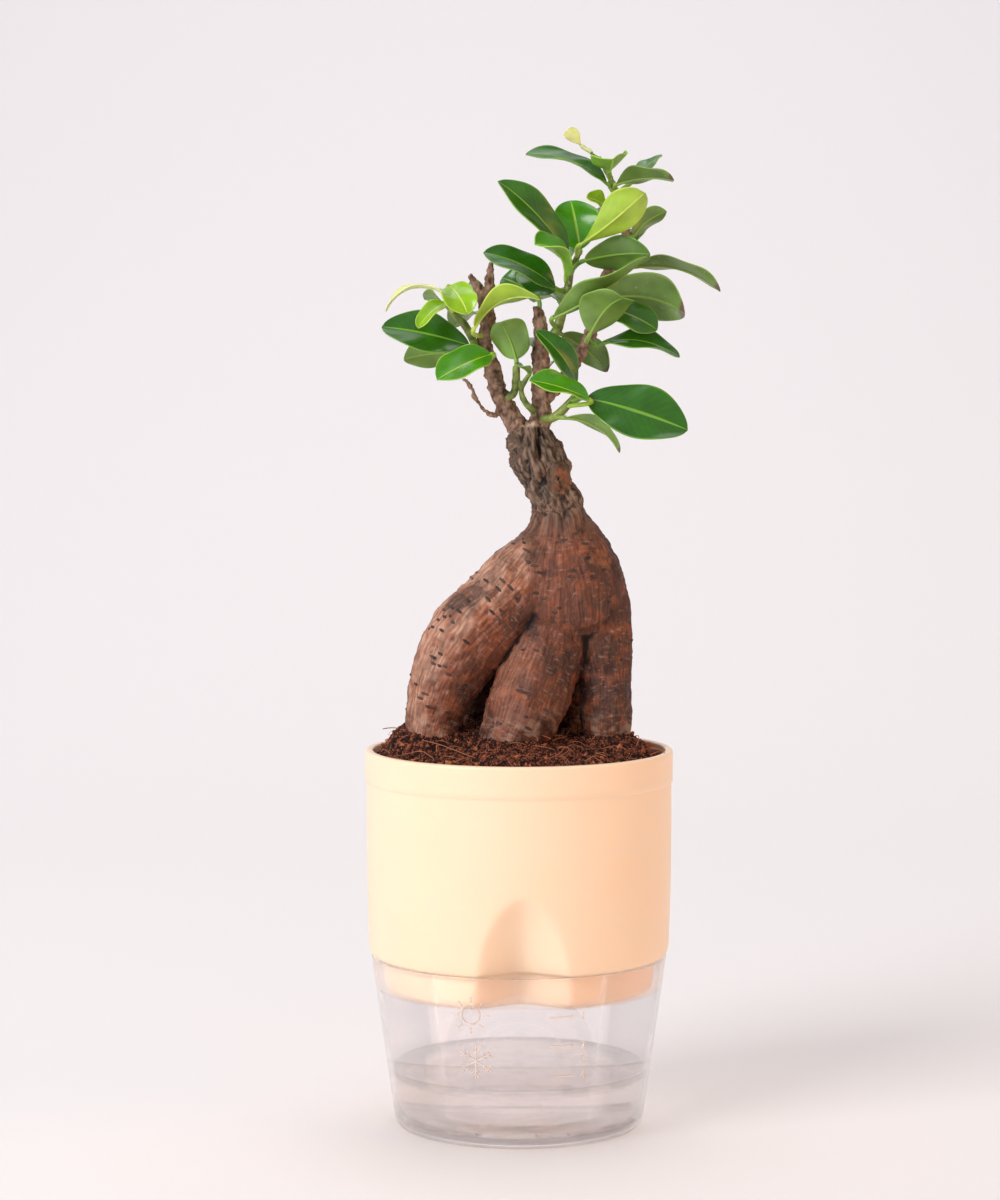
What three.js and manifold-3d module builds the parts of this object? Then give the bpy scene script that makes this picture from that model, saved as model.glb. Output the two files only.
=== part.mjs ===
// A grafted fig bonsai growing in coco peat, in a two-part self-watering pot.
// Millimetres, +Z up, front towards -Y. The origin is on the pot's axis, on the reservoir's flat underside.
import * as THREE from 'three';
import { mergeVertices } from 'three/addons/utils/BufferGeometryUtils.js';
import Module from 'manifold-3d';

// Driving dimensions
const potHeight = 123; // underside of the reservoir to the planter's rim
const rimRadius = 50; // outside of the planter at its rim
const planterWall = 2.5;
const planterFloor = 2.3;
const bandHeight = 112.6; // faint moulded line round the planter
const kneeHeight = 98; // above it the planter's wall stands nearly upright
const seatHeight = 56; // the reservoir's rim, which carries the planter
const nestDepth = 11; // how far the planter's foot hangs inside the reservoir
const nestRadius = 45; // outside of the planter's foot, at its top
const wickHoleRadius = 6;
const drainHoles = { count: 6, radius: 2.2, circle: 22, sides: 8 };
const reservoirFoot = 39.8; // outside radius of the reservoir at the floor
const reservoirRim = 48.1; // outside radius of the reservoir at its rim
const reservoirWall = 1.8;
const reservoirFloor = 3.2;
const reservoirCorner = 1.8; // rounding inside, where its wall meets its floor
const floorStep = { height: 0.9, outer: 28, inner: 22 }; // raised rings on the reservoir's floor
const waterLevel = 19.5;
// The hollow in the front wall that water is poured into
const scoop = { middle: 1, halfWidth: 15, top: 82, depth: 10.8 };
const soilEdge = 121.4; // height of the peat against the planter's wall
// Where the peat is heaped against the roots, above that height
const heaps = [
  { at: [-32, -8], spread: 14, height: 9.5 },
  { at: [29, -6], spread: 13, height: 7 },
  { at: [-4, 7], spread: 19, height: 11 },
  { at: [-2, -22], spread: 17, height: 5 },
];
const gap = 0.3; // air left between two pieces that touch
const potFacets = { count: 52, crowding: 0.5, step: 10 }; // of the planter and the peat, finer at the front
const reservoirFacets = 48;
const leafThickness = 0.5;
const bladeSteps = 5; // along a leaf's blade, with one more for each 12 degrees of twist
const petioleRadius = 0.75;

const wasm = await Module();
wasm.setup();
const degrees = Math.PI / 180;
const vector = (p) => new THREE.Vector3(...p);

// A closed geometry becomes a solid that can be joined or cut, and comes back as a geometry.
function solid(geometry) {
  geometry.deleteAttribute('normal');
  geometry.deleteAttribute('uv');
  const merged = mergeVertices(geometry, 1e-3);
  const vertProperties = new Float32Array(merged.attributes.position.array);
  const triVerts = new Uint32Array(merged.index.array);
  return new wasm.Manifold(new wasm.Mesh({ numProp: 3, vertProperties, triVerts }));
}

function geometryOf(made) {
  const mesh = made.getMesh();
  const geometry = new THREE.BufferGeometry();
  geometry.setAttribute('position', new THREE.BufferAttribute(new Float32Array(mesh.vertProperties), 3));
  geometry.setIndex(new THREE.BufferAttribute(new Uint32Array(mesh.triVerts), 1));
  geometry.computeVertexNormals();
  return geometry;
}

// Moves every vertex of a geometry to where place() puts it.
function reshape(geometry, place) {
  const position = geometry.attributes.position;
  for (let i = 0; i < position.count; i++) {
    const to = place(new THREE.Vector3().fromBufferAttribute(position, i));
    position.setXYZ(i, to.x, to.y, to.z);
  }
  return geometry;
}

const between = (edge0, edge1, x) => THREE.MathUtils.smoothstep(x, edge0, edge1);

// Turned shapes: a closed profile of [radius, height] points, turned about +Z with its seam at the back.
// Steps along it are no longer than step, and the facets are narrower at the front than at the back.
function turned(profile, segments, step, crowding = 0) {
  const points = [];
  profile.forEach((p, i) => {
    if (i === 0) return points.push(p);
    const pieces = Math.max(1, Math.ceil(p.distanceTo(profile[i - 1]) / step));
    for (let k = 1; k <= pieces; k++) points.push(profile[i - 1].clone().lerp(p, k / pieces));
  });
  const geometry = new THREE.LatheGeometry(points, segments, Math.PI, 2 * Math.PI).rotateX(Math.PI / 2);
  return reshape(geometry, (v) => {
    const radius = Math.hypot(v.x, v.y);
    const turn = Math.atan2(v.x, -v.y) / Math.PI;
    const angle = Math.PI * turn * (1 - crowding + crowding * turn * turn);
    return new THREE.Vector3(radius * Math.sin(angle), -radius * Math.cos(angle), v.z);
  });
}

const potTurned = (profile) =>
  turned(profile.getPoints(2), potFacets.count, potFacets.step, potFacets.crowding);

// The scoop pushes the front wall in: deepest at the foot, gone at its arched top.
function scoopDepth(x, z) {
  const foot = seatHeight - nestDepth;
  const rise = THREE.MathUtils.clamp((z - foot) / (scoop.top - foot), 0, 1);
  const halfWidth = scoop.halfWidth * Math.pow(1 - Math.pow(rise, 2.6), 0.6);
  const across = halfWidth > 0 ? Math.min(1, Math.abs(x - scoop.middle) / halfWidth) : 1;
  return scoop.depth * (1 - rise * rise) * Math.pow(Math.cos((across * Math.PI) / 2), 1.15);
}

function scooped(geometry, looser = 1) {
  return reshape(geometry, (v) => {
    if (v.y > 0) return v;
    const radius = Math.hypot(v.x, v.y);
    const depth = looser * scoopDepth(scoop.middle + (v.x - scoop.middle) / looser, v.z);
    const pushed = radius - depth * between(9, 32, radius);
    return new THREE.Vector3((v.x * pushed) / radius, (v.y * pushed) / radius, v.z);
  });
}

// The reservoir: a clear tapered cup with low raised rings on its floor.
function reservoirGeometry() {
  const floor = reservoirFloor;
  const profile = new THREE.Path();
  profile.moveTo(0, 0);
  profile.lineTo(reservoirFoot - 1.5, 0);
  profile.quadraticCurveTo(reservoirFoot + 0.2, 0, reservoirFoot + 0.8, 2.3);
  profile.lineTo(reservoirRim, seatHeight);
  profile.lineTo(reservoirRim - reservoirWall, seatHeight);
  profile.lineTo(reservoirFoot - 0.6, floor + reservoirCorner);
  profile.quadraticCurveTo(reservoirFoot - 1.2, floor, reservoirFoot - 3.4, floor);
  profile.lineTo(floorStep.outer + 0.5, floor);
  profile.lineTo(floorStep.outer, floor + floorStep.height);
  profile.lineTo(floorStep.inner, floor + floorStep.height);
  profile.lineTo(floorStep.inner - 0.5, floor + 2 * floorStep.height);
  profile.lineTo(0, floor + 2 * floorStep.height);
  return turned(profile.getPoints(3), reservoirFacets, rimRadius);
}

// The water fills the bottom of the reservoir, just clear of its wall and floor.
function waterGeometry() {
  const low = { radius: reservoirFoot - 0.6, height: reservoirFloor + reservoirCorner };
  const high = { radius: reservoirRim - reservoirWall, height: seatHeight };
  const wallAt = (z) => THREE.MathUtils.mapLinear(z, low.height, high.height, low.radius, high.radius);
  const clear = gap + 0.1;
  const floor = reservoirFloor + gap;
  const corner = floor + reservoirCorner;
  const profile = new THREE.Path();
  profile.moveTo(0, floor + 2 * floorStep.height);
  profile.lineTo(floorStep.inner - 0.3, floor + 2 * floorStep.height);
  profile.lineTo(floorStep.inner + 0.2, floor + floorStep.height);
  profile.lineTo(floorStep.outer + 0.3, floor + floorStep.height);
  profile.lineTo(floorStep.outer + 0.8, floor);
  profile.lineTo(reservoirFoot - 3.8, floor);
  profile.quadraticCurveTo(reservoirFoot - 1.6, floor, wallAt(corner) - clear, corner);
  profile.lineTo(wallAt(waterLevel) - clear, waterLevel);
  profile.lineTo(0, waterLevel);
  return turned(profile.getPoints(2), reservoirFacets, rimRadius);
}

// The planter: a cup whose foot nests in the reservoir, with a wick hole and drain holes in its floor.
function planterGeometry() {
  const foot = seatHeight - nestDepth;
  const ledge = seatHeight + gap;
  const inner = rimRadius - planterWall;
  const nestInner = nestRadius - planterWall;
  const profile = new THREE.Path();
  profile.moveTo(wickHoleRadius, foot);
  profile.lineTo(nestRadius - 4.1, foot);
  profile.quadraticCurveTo(nestRadius - 1.4, foot, nestRadius - 1.1, foot + 3);
  profile.lineTo(nestRadius, ledge);
  profile.lineTo(reservoirRim - 0.4, ledge);
  profile.quadraticCurveTo(rimRadius - 1.2, ledge + 0.3, rimRadius - 1, ledge + 5);
  profile.lineTo(rimRadius - 0.4, scoop.top);
  profile.lineTo(rimRadius - 0.1, kneeHeight);
  profile.lineTo(rimRadius, bandHeight);
  profile.lineTo(rimRadius, potHeight - 1);
  profile.quadraticCurveTo(rimRadius, potHeight, rimRadius - 1, potHeight);
  profile.lineTo(inner + 0.7, potHeight);
  profile.quadraticCurveTo(inner, potHeight, inner, potHeight - 0.7);
  profile.lineTo(inner, kneeHeight);
  profile.lineTo(inner - 0.4, scoop.top);
  profile.lineTo(inner - 0.9, ledge + 6);
  profile.quadraticCurveTo(inner - 1.2, ledge + 2.4, nestInner + 0.2, ledge + 2.2);
  profile.lineTo(nestInner - 1.1, foot + planterFloor + 1.3);
  profile.quadraticCurveTo(nestInner - 1.4, foot + planterFloor, nestInner - 3, foot + planterFloor);
  profile.lineTo(wickHoleRadius, foot + planterFloor);
  profile.closePath();
  let planter = solid(scooped(potTurned(profile)));
  const { radius, sides } = drainHoles;
  for (let i = 0; i < drainHoles.count; i++) {
    const angle = ((i + 0.5) / drainHoles.count) * 2 * Math.PI;
    const hole = new THREE.CylinderGeometry(radius, radius, 8, sides).rotateX(Math.PI / 2);
    hole.translate(drainHoles.circle * Math.sin(angle), -drainHoles.circle * Math.cos(angle), foot + 1);
    planter = planter.subtract(solid(hole));
  }
  return planter;
}

// The smooth centre line through a limb's rows of [x, y, z, radius].
function centreLine(rows) {
  const points = rows.map(([x, y, z]) => new THREE.Vector3(x, y, z));
  return new THREE.CatmullRomCurve3(points, false, 'catmullrom');
}

// Round woody or green limbs along such a line, closed at both ends.
function limb(rows, sides = 8, steps = 3, grow = 0) {
  const curve = centreLine(rows);
  const count = (rows.length - 1) * steps;
  const frames = curve.computeFrenetFrames(count, false);
  const radiusAt = (t) => {
    const along = t * (rows.length - 1);
    const i = Math.min(rows.length - 2, Math.floor(along));
    return THREE.MathUtils.lerp(rows[i][3], rows[i + 1][3], along - i) + grow;
  };
  return solid(
    reshape(new THREE.CylinderGeometry(1, 1, 1, sides, count), (v) => {
      const t = v.y + 0.5;
      const row = Math.round(t * count);
      const radius = radiusAt(t);
      // Grown limbs are also longer at both ends, so that what they cut stays clear all round.
      const end = row === 0 ? -grow : row === count ? grow : 0;
      return curve
        .getPoint(t)
        .addScaledVector(frames.normals[row], v.x * radius)
        .addScaledVector(frames.binormals[row], -v.z * radius)
        .addScaledVector(frames.tangents[row], end);
    })
  );
}

const joined = (solids) => solids.reduce((all, one) => all.add(one));

// The rootstock: swollen roots that meet in a shoulder and narrow to the grafted neck.
const rootLimbs = [
  // neck and shoulder
  [[3, 0, 228.4, 5.6], [4, 0, 224, 7.4], [5.4, 0, 218, 8.7], [8.4, 0, 211, 8.3], [11.6, 0, 203.5, 7.8],
    [13.5, 0, 196.5, 9.5], [14.4, 1, 190, 14.8], [14.4, 1, 182, 17.4], [14, 1, 172, 18.2], [14, 0.5, 163, 16],
    [14, 0.5, 157, 11], [14, 0.5, 153, 5]],
  // front of the shoulder, full down to where the roots part
  [[12, -1, 191, 9], [17, -3, 182, 13], [19, -4, 172, 13.4], [19.5, -3.6, 164, 10.6], [19.6, -3, 159, 5]],
  [[10, 0, 184, 10], [6.5, -2.5, 177, 11], [6, -4, 172, 8]],
  // left root
  [[13, 1, 188, 10], [5, 0, 182, 12.6], [-4, -3.5, 171.6, 13.8], [-15, -6.5, 161, 14.2],
    [-22.4, -8.5, 149, 12.2], [-26.8, -9.5, 137, 9.6], [-29.2, -10, 124, 8], [-29.5, -10, 112, 5],
    [-29.5, -10, 108, 2]],
  // middle root, in front
  [[15, 1, 182, 11], [13, -1.5, 170, 12.4], [9.4, -6, 157, 12], [4.8, -10.5, 145, 12.6],
    [0.8, -14, 135, 12.2], [-3.4, -16.5, 125, 9.6], [-5.4, -17, 114, 6], [-5.6, -17, 108, 3]],
  // right root
  [[18, 2, 190, 8], [22.5, 1.5, 182, 10.6], [25, 0, 171, 11], [26.8, -2, 158, 9.8], [27.7, -3.6, 146, 8.7],
    [28.2, -5, 133, 8.3], [28, -5, 121, 6.8], [27.6, -5, 110, 3]],
  // back roots
  [[15, 3, 184, 11], [14, 8, 172, 14], [12, 14.5, 158, 12.8], [9, 19.5, 144, 10.6], [7, 23, 131, 8],
    [6.5, 24, 118, 6], [6.5, 24, 110, 3]],
  [[20, 4, 178, 9], [21.5, 11, 165, 9], [20.5, 16, 150, 8.4], [19, 19, 136, 7.4], [18.5, 20, 120, 5.6],
    [18.5, 20, 110, 3]],
  // small root behind, between the left root and the middle one
  [[2, 6, 168, 9], [-5, 9, 156, 8], [-12, 12.5, 144, 6], [-16.5, 15, 131, 4.6], [-18, 16, 118, 3.4]],
  // knob on the left of the neck, and the lump of healed bark below it
  [[4, -1, 221, 6.6], [-1.6, -1.5, 219.6, 4], [-3.4, -1.6, 219, 1.6]],
  [[8, 0, 209, 6], [12.2, -5.6, 211, 3.4], [13.4, -7.4, 211.4, 1.4]],
];
const rootstockOf = (grow) => joined(rootLimbs.map((rows) => limb(rows, 12, 2, grow)));

// Stems, each from its thick end to its tip. The first limb is the stem itself; others are its stubs.
const stems = {
  left_scion: [
    [[0, 0, 226, 3.2], [-1.5, 0, 229, 3.5], [-3.5, 0.5, 232.5, 3.1], [-6, 1, 237, 2.9], [-9, 1, 247, 2.6],
      [-11.5, 1, 254.5, 2.3], [-10.5, 1.5, 259.5, 2.2], [-10.5, 1.5, 266, 2.7], [-11, 1.5, 271, 2.4]],
    [[-10, 1.5, 268, 2], [-9.5, 1, 274, 1.7], [-9, 0.5, 280.5, 0.8]], // forked dead tip
    [[-11, 1.5, 266, 1.9], [-13, 2, 271.5, 1.6], [-16, 2, 276, 0.8]],
    [[-8.5, 1, 244.5, 1.8], [-11, 0.5, 244.5, 1.2]], // side stub
    [[-6, 0.5, 235.5, 1], [-7.5, -2, 231, 0.75], [-12.5, -3.5, 234, 0.65], [-16, -4, 241, 0.6],
      [-18, -4, 243, 0.5]], // dry twig
  ],
  centre_scion: [
    [[6, 0, 226, 3], [6.5, 0, 229, 3.5], [7, 0, 234, 3.2], [7, 0, 245, 2.8], [7, 0, 254.5, 2.5],
      [6.5, 0.5, 261.5, 2.1], [5.5, 0.5, 266, 1.1]],
  ],
  right_branch: [
    [[7, 0, 235.5, 2.1], [11, 0, 239, 2.2], [14, 0, 242.5, 2], [19, 0.5, 250, 1.9], [22.5, 1, 256.5, 1.8],
      [25, 1.5, 264.5, 1.7], [26, 2, 270, 1.6], [29, 2, 278, 1.5], [33.5, 1, 286, 1.4], [34, 1, 292.5, 1.3],
      [32.5, 1, 299.5, 1.2], [30, 1, 304.5, 1.2], [28.5, 0.5, 308.5, 1], [25.5, 0, 313, 0.8],
      [23, -0.5, 315.5, 0.6]],
  ],
  upper_shoot: [
    [[7, 0, 252, 1.5], [10, -1.5, 255.5, 1.6], [12.5, -2, 259.5, 1.6], [14, -1, 265, 1.5],
      [15.5, 0, 271, 1.4], [16.5, 0.5, 277, 1.2], [19, 1, 283, 0.9]],
  ],
  left_shoot: [
    [[-11, 1, 250.5, 1.6], [-13.5, 0, 252, 1.5], [-15, -1.5, 255.5, 1.3], [-17.5, -2.5, 260, 1.3],
      [-21.5, -3, 264.5, 1.2], [-23.5, -3.5, 269, 1], [-24.5, -4, 271.5, 0.7]],
  ],
  stub_shoot: [
    [[-6, 0.5, 236, 1.3], [-2, -1.5, 238, 1.3], [-1, -3.5, 242.5, 1.3], [-1, -4.5, 247, 1.2]],
  ],
  fork_twig: [
    [[6.5, -0.5, 231.5, 1.1], [3.5, -4, 233.5, 1.1], [1, -4.5, 237, 1], [0.5, -5, 240.5, 0.8],
      [0, -5, 242.5, 0.4]],
    [[0.5, -5, 239.5, 0.8], [2, -5, 242.5, 0.8], [3.5, -5, 244.5, 0.6]],
  ],
  low_shoot: [
    [[6.5, -1.5, 230, 1.3], [11, -5, 230.5, 1.5], [15, -7, 234, 1.4], [17.5, -8, 237.5, 0.9]],
  ],
};
// What each stem grows out of, so that its end is shaped to fit there.
const parents = {
  right_branch: 'centre_scion',
  upper_shoot: 'centre_scion',
  left_shoot: 'left_scion',
  stub_shoot: 'left_scion',
  fork_twig: 'centre_scion',
  low_shoot: 'centre_scion',
};
const stemOf = (name, grow = 0) => joined(stems[name].map((rows) => limb(rows, 7, 2, grow)));

// Leaves by the stem they grow on. Each row: how many points up the stem's line the stalk leaves it, how far
// the stalk reaches to the blade, how far the blade reaches to its tip, the way its upper side faces, its
// width, how far its midrib arches, the degrees each half is folded up, its twist, and which limb it is on.
const leaves = {
  left_scion: {
    leaf_03: [4.2, [0.5, -9, 2], [-17, -12, -8], [-1, -8, 7], 14, 1, 18, 10],
    leaf_08: [5.3, [-3, -9, 3], [21, -5, 9], [-1, 3, 8], 13, 5, 16, -14],
    leaf_40: [6.8, [-1, 4, 3], [-4, 3, 7], [-6, -5, 5], 6, 0.5, 14, 0],
    leaf_44: [6.3, [-2, 8, 2], [-9, 17, -4], [-1, 4, 9], 12, 3, 12, 0],
  },
  centre_scion: {
    leaf_36: [3, [2, 7, 1], [5, 14, 3], [0, 1, 1], 12, 1, 12, 0],
    leaf_37: [5, [-2, 9, 9], [-10, 3, 5], [0, -9, 4], 13, 1, 10, 0],
    leaf_43: [3.5, [-2, 9, 3], [-8, 22, 1], [0, 1, 3], 13, 2.5, 12, 0],
  },
  right_branch: {
    leaf_14: [11, [-2, -3, 1], [-26, -1, 9], [1, -4, 9], 12, 3, 14, 0],
    leaf_15: [11.7, [-0.5, -3, 2], [1, -12, 3], [-2, 2, 9], 15, -1, 36, 0],
    leaf_16: [14, [-3, -0.5, 2], [-5, -1, 5], [3, -9, 3], 6, 0.5, 10, 0],
    leaf_17: [10.7, [0.5, -3, 2], [18, -6, 1], [1, 3, 8], 12, 1.5, 16, 0],
    leaf_18: [10.5, [6, 4, 5], [9, 7, 8], [-5, -5, 6], 7, 0.5, 12, 0],
    leaf_20: [10, [-4, -4, -2], [-7, -4, 3], [2, -6, 7], 9, 0.5, 15, 0],
    leaf_21: [8.4, [2.5, 1, 0], [11, 2, 8], [-4, 8, 6], 9, 2, 14, 0],
    leaf_22: [8, [3, 8, -1], [7, 8, 10], [-8, -6, 4], 8, 1, 14, 0],
    leaf_25: [7, [9, 3, 1], [27, -1, -8], [2, 3, 8], 12, 3.5, 14, 16],
    leaf_26: [5.8, [-2, -5, -1], [29, -8, -4], [1, 8, 5], 18, 6.5, 12, 0],
    leaf_27: [5, [3, -5, 1], [16, -4, -7], [3, -8, 5], 12.5, 1.5, 10, 0],
    leaf_28: [3.7, [1, -13, 3], [10, -12, 11], [-2, 8, 5], 17, 3, 18, 0],
    leaf_29: [3.9, [3, -4, -2], [26, -7, -4], [0, -4, 9], 13, 3.5, 10, 0],
    leaf_41: [4.7, [0, 7, 2], [6, 22, -2], [1, 4, 9], 13, 3, 12, 0],
    leaf_45: [9, [-1, 8, 1], [-6, 19, 3], [0, 1, 3], 11, 2, 12, 0],
  },
  upper_shoot: {
    leaf_10: [4, [-4, -4, 1], [-23, -5, 11], [1, -7, 7], 12.5, 2.5, 12, 0],
    leaf_11: [5.3, [-2, -3, 4], [-22, -5, 23], [4, -8, 5], 13, 2.5, 20, 12],
    leaf_12: [5.9, [1, 4, 2], [-3, 5, 16], [0, -9, 2], 16, 1.5, 10, 0],
    leaf_13: [4.4, [-1, -8, 2], [-10, -10, 10], [2, -4, 8], 15, 3.5, 24, 0],
    leaf_19: [5.8, [1, -6, 4], [20, -10, 16], [1, 8, 5], 14, -2, 14, 24],
    leaf_23: [5.1, [4, -5, 3], [21, -4, 2], [0, 9, 4], 12, 2.5, 14, 0],
    leaf_24: [1.8, [-1, -7, 4], [29, -12, 19], [-3, 3, 8], 14, -1.5, 24, 60],
    leaf_30: [1.7, [2, 7, -1], [15, 4, -12], [3, 8, 5], 11, 2, 12, 0],
    leaf_38: [3.9, [-4, 5, 0.5], [-12, 1, 6], [0, -8, 5], 12, 1.5, 12, 0],
    leaf_42: [3, [-1, 10, 3], [-8, 22, 0], [-1, 4, 9], 13, 3, 12, 0],
    leaf_46: [5.3, [-2, 10, 2], [-5, 20, 5], [-1, 3, 9], 12, 3, 12, 0],
  },
  left_shoot: {
    leaf_01: [2, [-1, -3.5, -2], [-28, -2, 6], [0, -8, 5], 15, 1.5, 12, 0],
    leaf_02: [1, [-5, 6, -1], [-19, 3, -2], [1, 8, 5], 12, 2, 14, 0],
    leaf_04: [5, [-2.5, -0.5, 2.5], [-17, 3, -7], [0, -2, 9], 5, 4, 20, 0],
    leaf_05: [4.2, [-0.5, -2, 7], [6, -9, -9], [1, -8, 6], 12, 2, 12, 0],
    leaf_06: [3.9, [-2, -5, 3], [-9, -8, -8], [-4, -8, 5], 7, 1.5, 22, 0],
    leaf_07: [3.8, [-3, 5, 3], [-7, 9, 2], [2, 5, 9], 9, 1, 10, 0],
  },
  stub_shoot: {
    leaf_09: [2.9, [0, -1.5, 2.5], [-5, -3, 12], [3, 9, 1], 14, 2, 20, 0],
  },
  fork_twig: {
    leaf_39: [1.8, [0, -2, 1], [-4, -7, 2], [0, -5, 9], 6, 0.5, 14, 0, 1],
  },
  low_shoot: {
    leaf_31: [2.9, [1, -1, 4], [-13, -5, 17], [6, -8, 3], 9.5, 2.5, 16, 0],
    leaf_32: [2.5, [5, -5, 1], [32, -6, -10], [1, -9, 4], 19, 2, 8, 0],
    leaf_33: [2, [7, -10, 2.5], [-19, -5, 6], [-1, -6, 8], 12, 1, 20, 0],
    leaf_34: [1.8, [5, 5, 3], [6, 15, -2], [1, -6, 8], 14, 1.5, 10, 0],
    leaf_35: [1, [4, -4, 0], [17, -4, -11], [3, 5, 7], 7, 3.5, 18, 0],
  },
};

// Half-width of a blade at t from its base to its tip, as a share of the widest: an ellipse with a point.
const bladeOutline = (t) => (Math.pow(t, 0.72) * Math.pow(1 - t, 0.66)) / 0.3836;

function leafSolid([at, stalk, reach, face, width, arch, fold, twist, limbIndex = 0], stem, clear) {
  const rows = stems[stem][limbIndex];
  const from = centreLine(rows).getPoint(at / (rows.length - 1));
  const start = from.clone().add(vector(stalk));
  const end = start.clone().add(vector(reach));
  const axis = end.clone().sub(start).normalize();
  const side = axis.clone().cross(vector(face)).normalize();
  const normal = side.clone().cross(axis);
  const control = start.clone().add(end).multiplyScalar(0.5).addScaledVector(normal, 2 * arch);
  const midrib = new THREE.QuadraticBezierCurve3(start, control, end);
  const steps = bladeSteps + Math.round(Math.abs(twist) / 12);
  const blade = reshape(new THREE.BoxGeometry(1, 1, 1, 2, steps, 1), (v) => {
    const t = v.y + 0.5;
    const across = 2 * v.x;
    const half = Math.max(0.35, (width / 2) * bladeOutline(t));
    const tangent = midrib.getTangent(t);
    const over = side.clone().applyAxisAngle(tangent, twist * degrees * (t - 0.5));
    const up = over.clone().cross(tangent);
    return midrib
      .getPoint(t)
      .addScaledVector(over, across * half * Math.cos(fold * degrees))
      .addScaledVector(up, Math.abs(across) * half * Math.sin(fold * degrees) + v.z * leafThickness);
  });
  const lean = from.distanceTo(start) * 0.35;
  const petiole = new THREE.CubicBezierCurve3(
    from,
    from.clone().lerp(start, 0.35),
    start.clone().addScaledVector(midrib.getTangent(0), -lean),
    start
  );
  const stalkRows = [0, 0.5, 1].map((t) => [...petiole.getPoint(t), petioleRadius]);
  stalkRows.push([...midrib.getPoint(0.12), petioleRadius * 0.6]);
  return solid(blade).add(limb(stalkRows, 4, 1)).subtract(clear);
}

// The peat: it fills the planter to just under the rim, heaped round the roots, with their shape left out.
function soilGeometry() {
  const floor = seatHeight - nestDepth + planterFloor + gap;
  const ledge = seatHeight + gap;
  const inner = rimRadius - planterWall - gap - 0.1;
  const nestInner = nestRadius - planterWall;
  const profile = new THREE.Path();
  profile.moveTo(0, floor);
  profile.lineTo(nestInner - 3.6, floor);
  profile.quadraticCurveTo(nestInner - 1.9, floor, nestInner - 1.5, floor + 2);
  profile.lineTo(nestInner - 0.3, ledge + 2.5);
  profile.quadraticCurveTo(inner - 1.5, ledge + 2.9, inner - 1, ledge + 6.4);
  profile.lineTo(inner - 1, scoop.top);
  profile.lineTo(inner, kneeHeight);
  profile.lineTo(inner, soilEdge);
  profile.lineTo(inner - 6, soilEdge + 1.4);
  profile.lineTo(0, soilEdge + 1.4);
  const ground = reshape(scooped(potTurned(profile), 1.2), (v) => {
    if (v.z < soilEdge) return v;
    const inside = 1 - between(0.88, 1, Math.hypot(v.x, v.y) / inner);
    return heaps.reduce((p, heap) => {
      const away = Math.hypot(v.x - heap.at[0], v.y - heap.at[1]) / heap.spread;
      return p.setZ(p.z + inside * heap.height * Math.exp(-away * away));
    }, v.clone());
  });
  return solid(ground).subtract(rootstockOf(gap));
}

const bonsai = new THREE.Group();

function place(name, geometry, colour, roughness, extra = {}) {
  const material = new THREE.MeshStandardMaterial({ color: colour, roughness, metalness: 0, ...extra });
  const mesh = new THREE.Mesh(geometry, material);
  mesh.name = name;
  bonsai.add(mesh);
}

place('reservoir', reservoirGeometry(), '#eef0f2', 0.06, { transparent: true, opacity: 0.3 });
place('water', waterGeometry(), '#e3ecee', 0.03, { transparent: true, opacity: 0.35 });
place('planter', geometryOf(planterGeometry()), '#fde6c8', 0.5);
place('soil', geometryOf(soilGeometry()), '#5d382a', 0.95);
place('rootstock', geometryOf(rootstockOf(0)), '#7a5142', 0.7);

// Neck and parent stems are cut out of what grows from them, a little larger than they are.
const neckRoom = rootstockOf(gap);
const stemRoom = Object.fromEntries(Object.keys(stems).map((name) => [name, stemOf(name, gap)]));
const woody = ['left_scion', 'centre_scion', 'right_branch'];
for (const name of Object.keys(stems)) {
  let stem = stemOf(name).subtract(neckRoom);
  if (parents[name]) stem = stem.subtract(stemRoom[parents[name]]);
  const [colour, roughness] = woody.includes(name) ? ['#7a5541', 0.85] : ['#6f7d33', 0.5];
  place(name, geometryOf(stem), colour, roughness);
}

const youngLeaves = ['leaf_04', 'leaf_05', 'leaf_06', 'leaf_08', 'leaf_16', 'leaf_19', 'leaf_20'];
for (const [stem, grown] of Object.entries(leaves)) {
  for (const [name, row] of Object.entries(grown)) {
    const colour = youngLeaves.includes(name) ? '#9bb33c' : '#44700f';
    place(name, geometryOf(leafSolid(row, stem, stemRoom[stem])), colour, 0.38, { side: THREE.DoubleSide });
  }
}

export default bonsai;
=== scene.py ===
# A grafted fig bonsai in a two-part self-watering pot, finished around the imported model.
import math

import bmesh
import bpy
import numpy as np
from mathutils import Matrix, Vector, kdtree, noise


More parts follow.
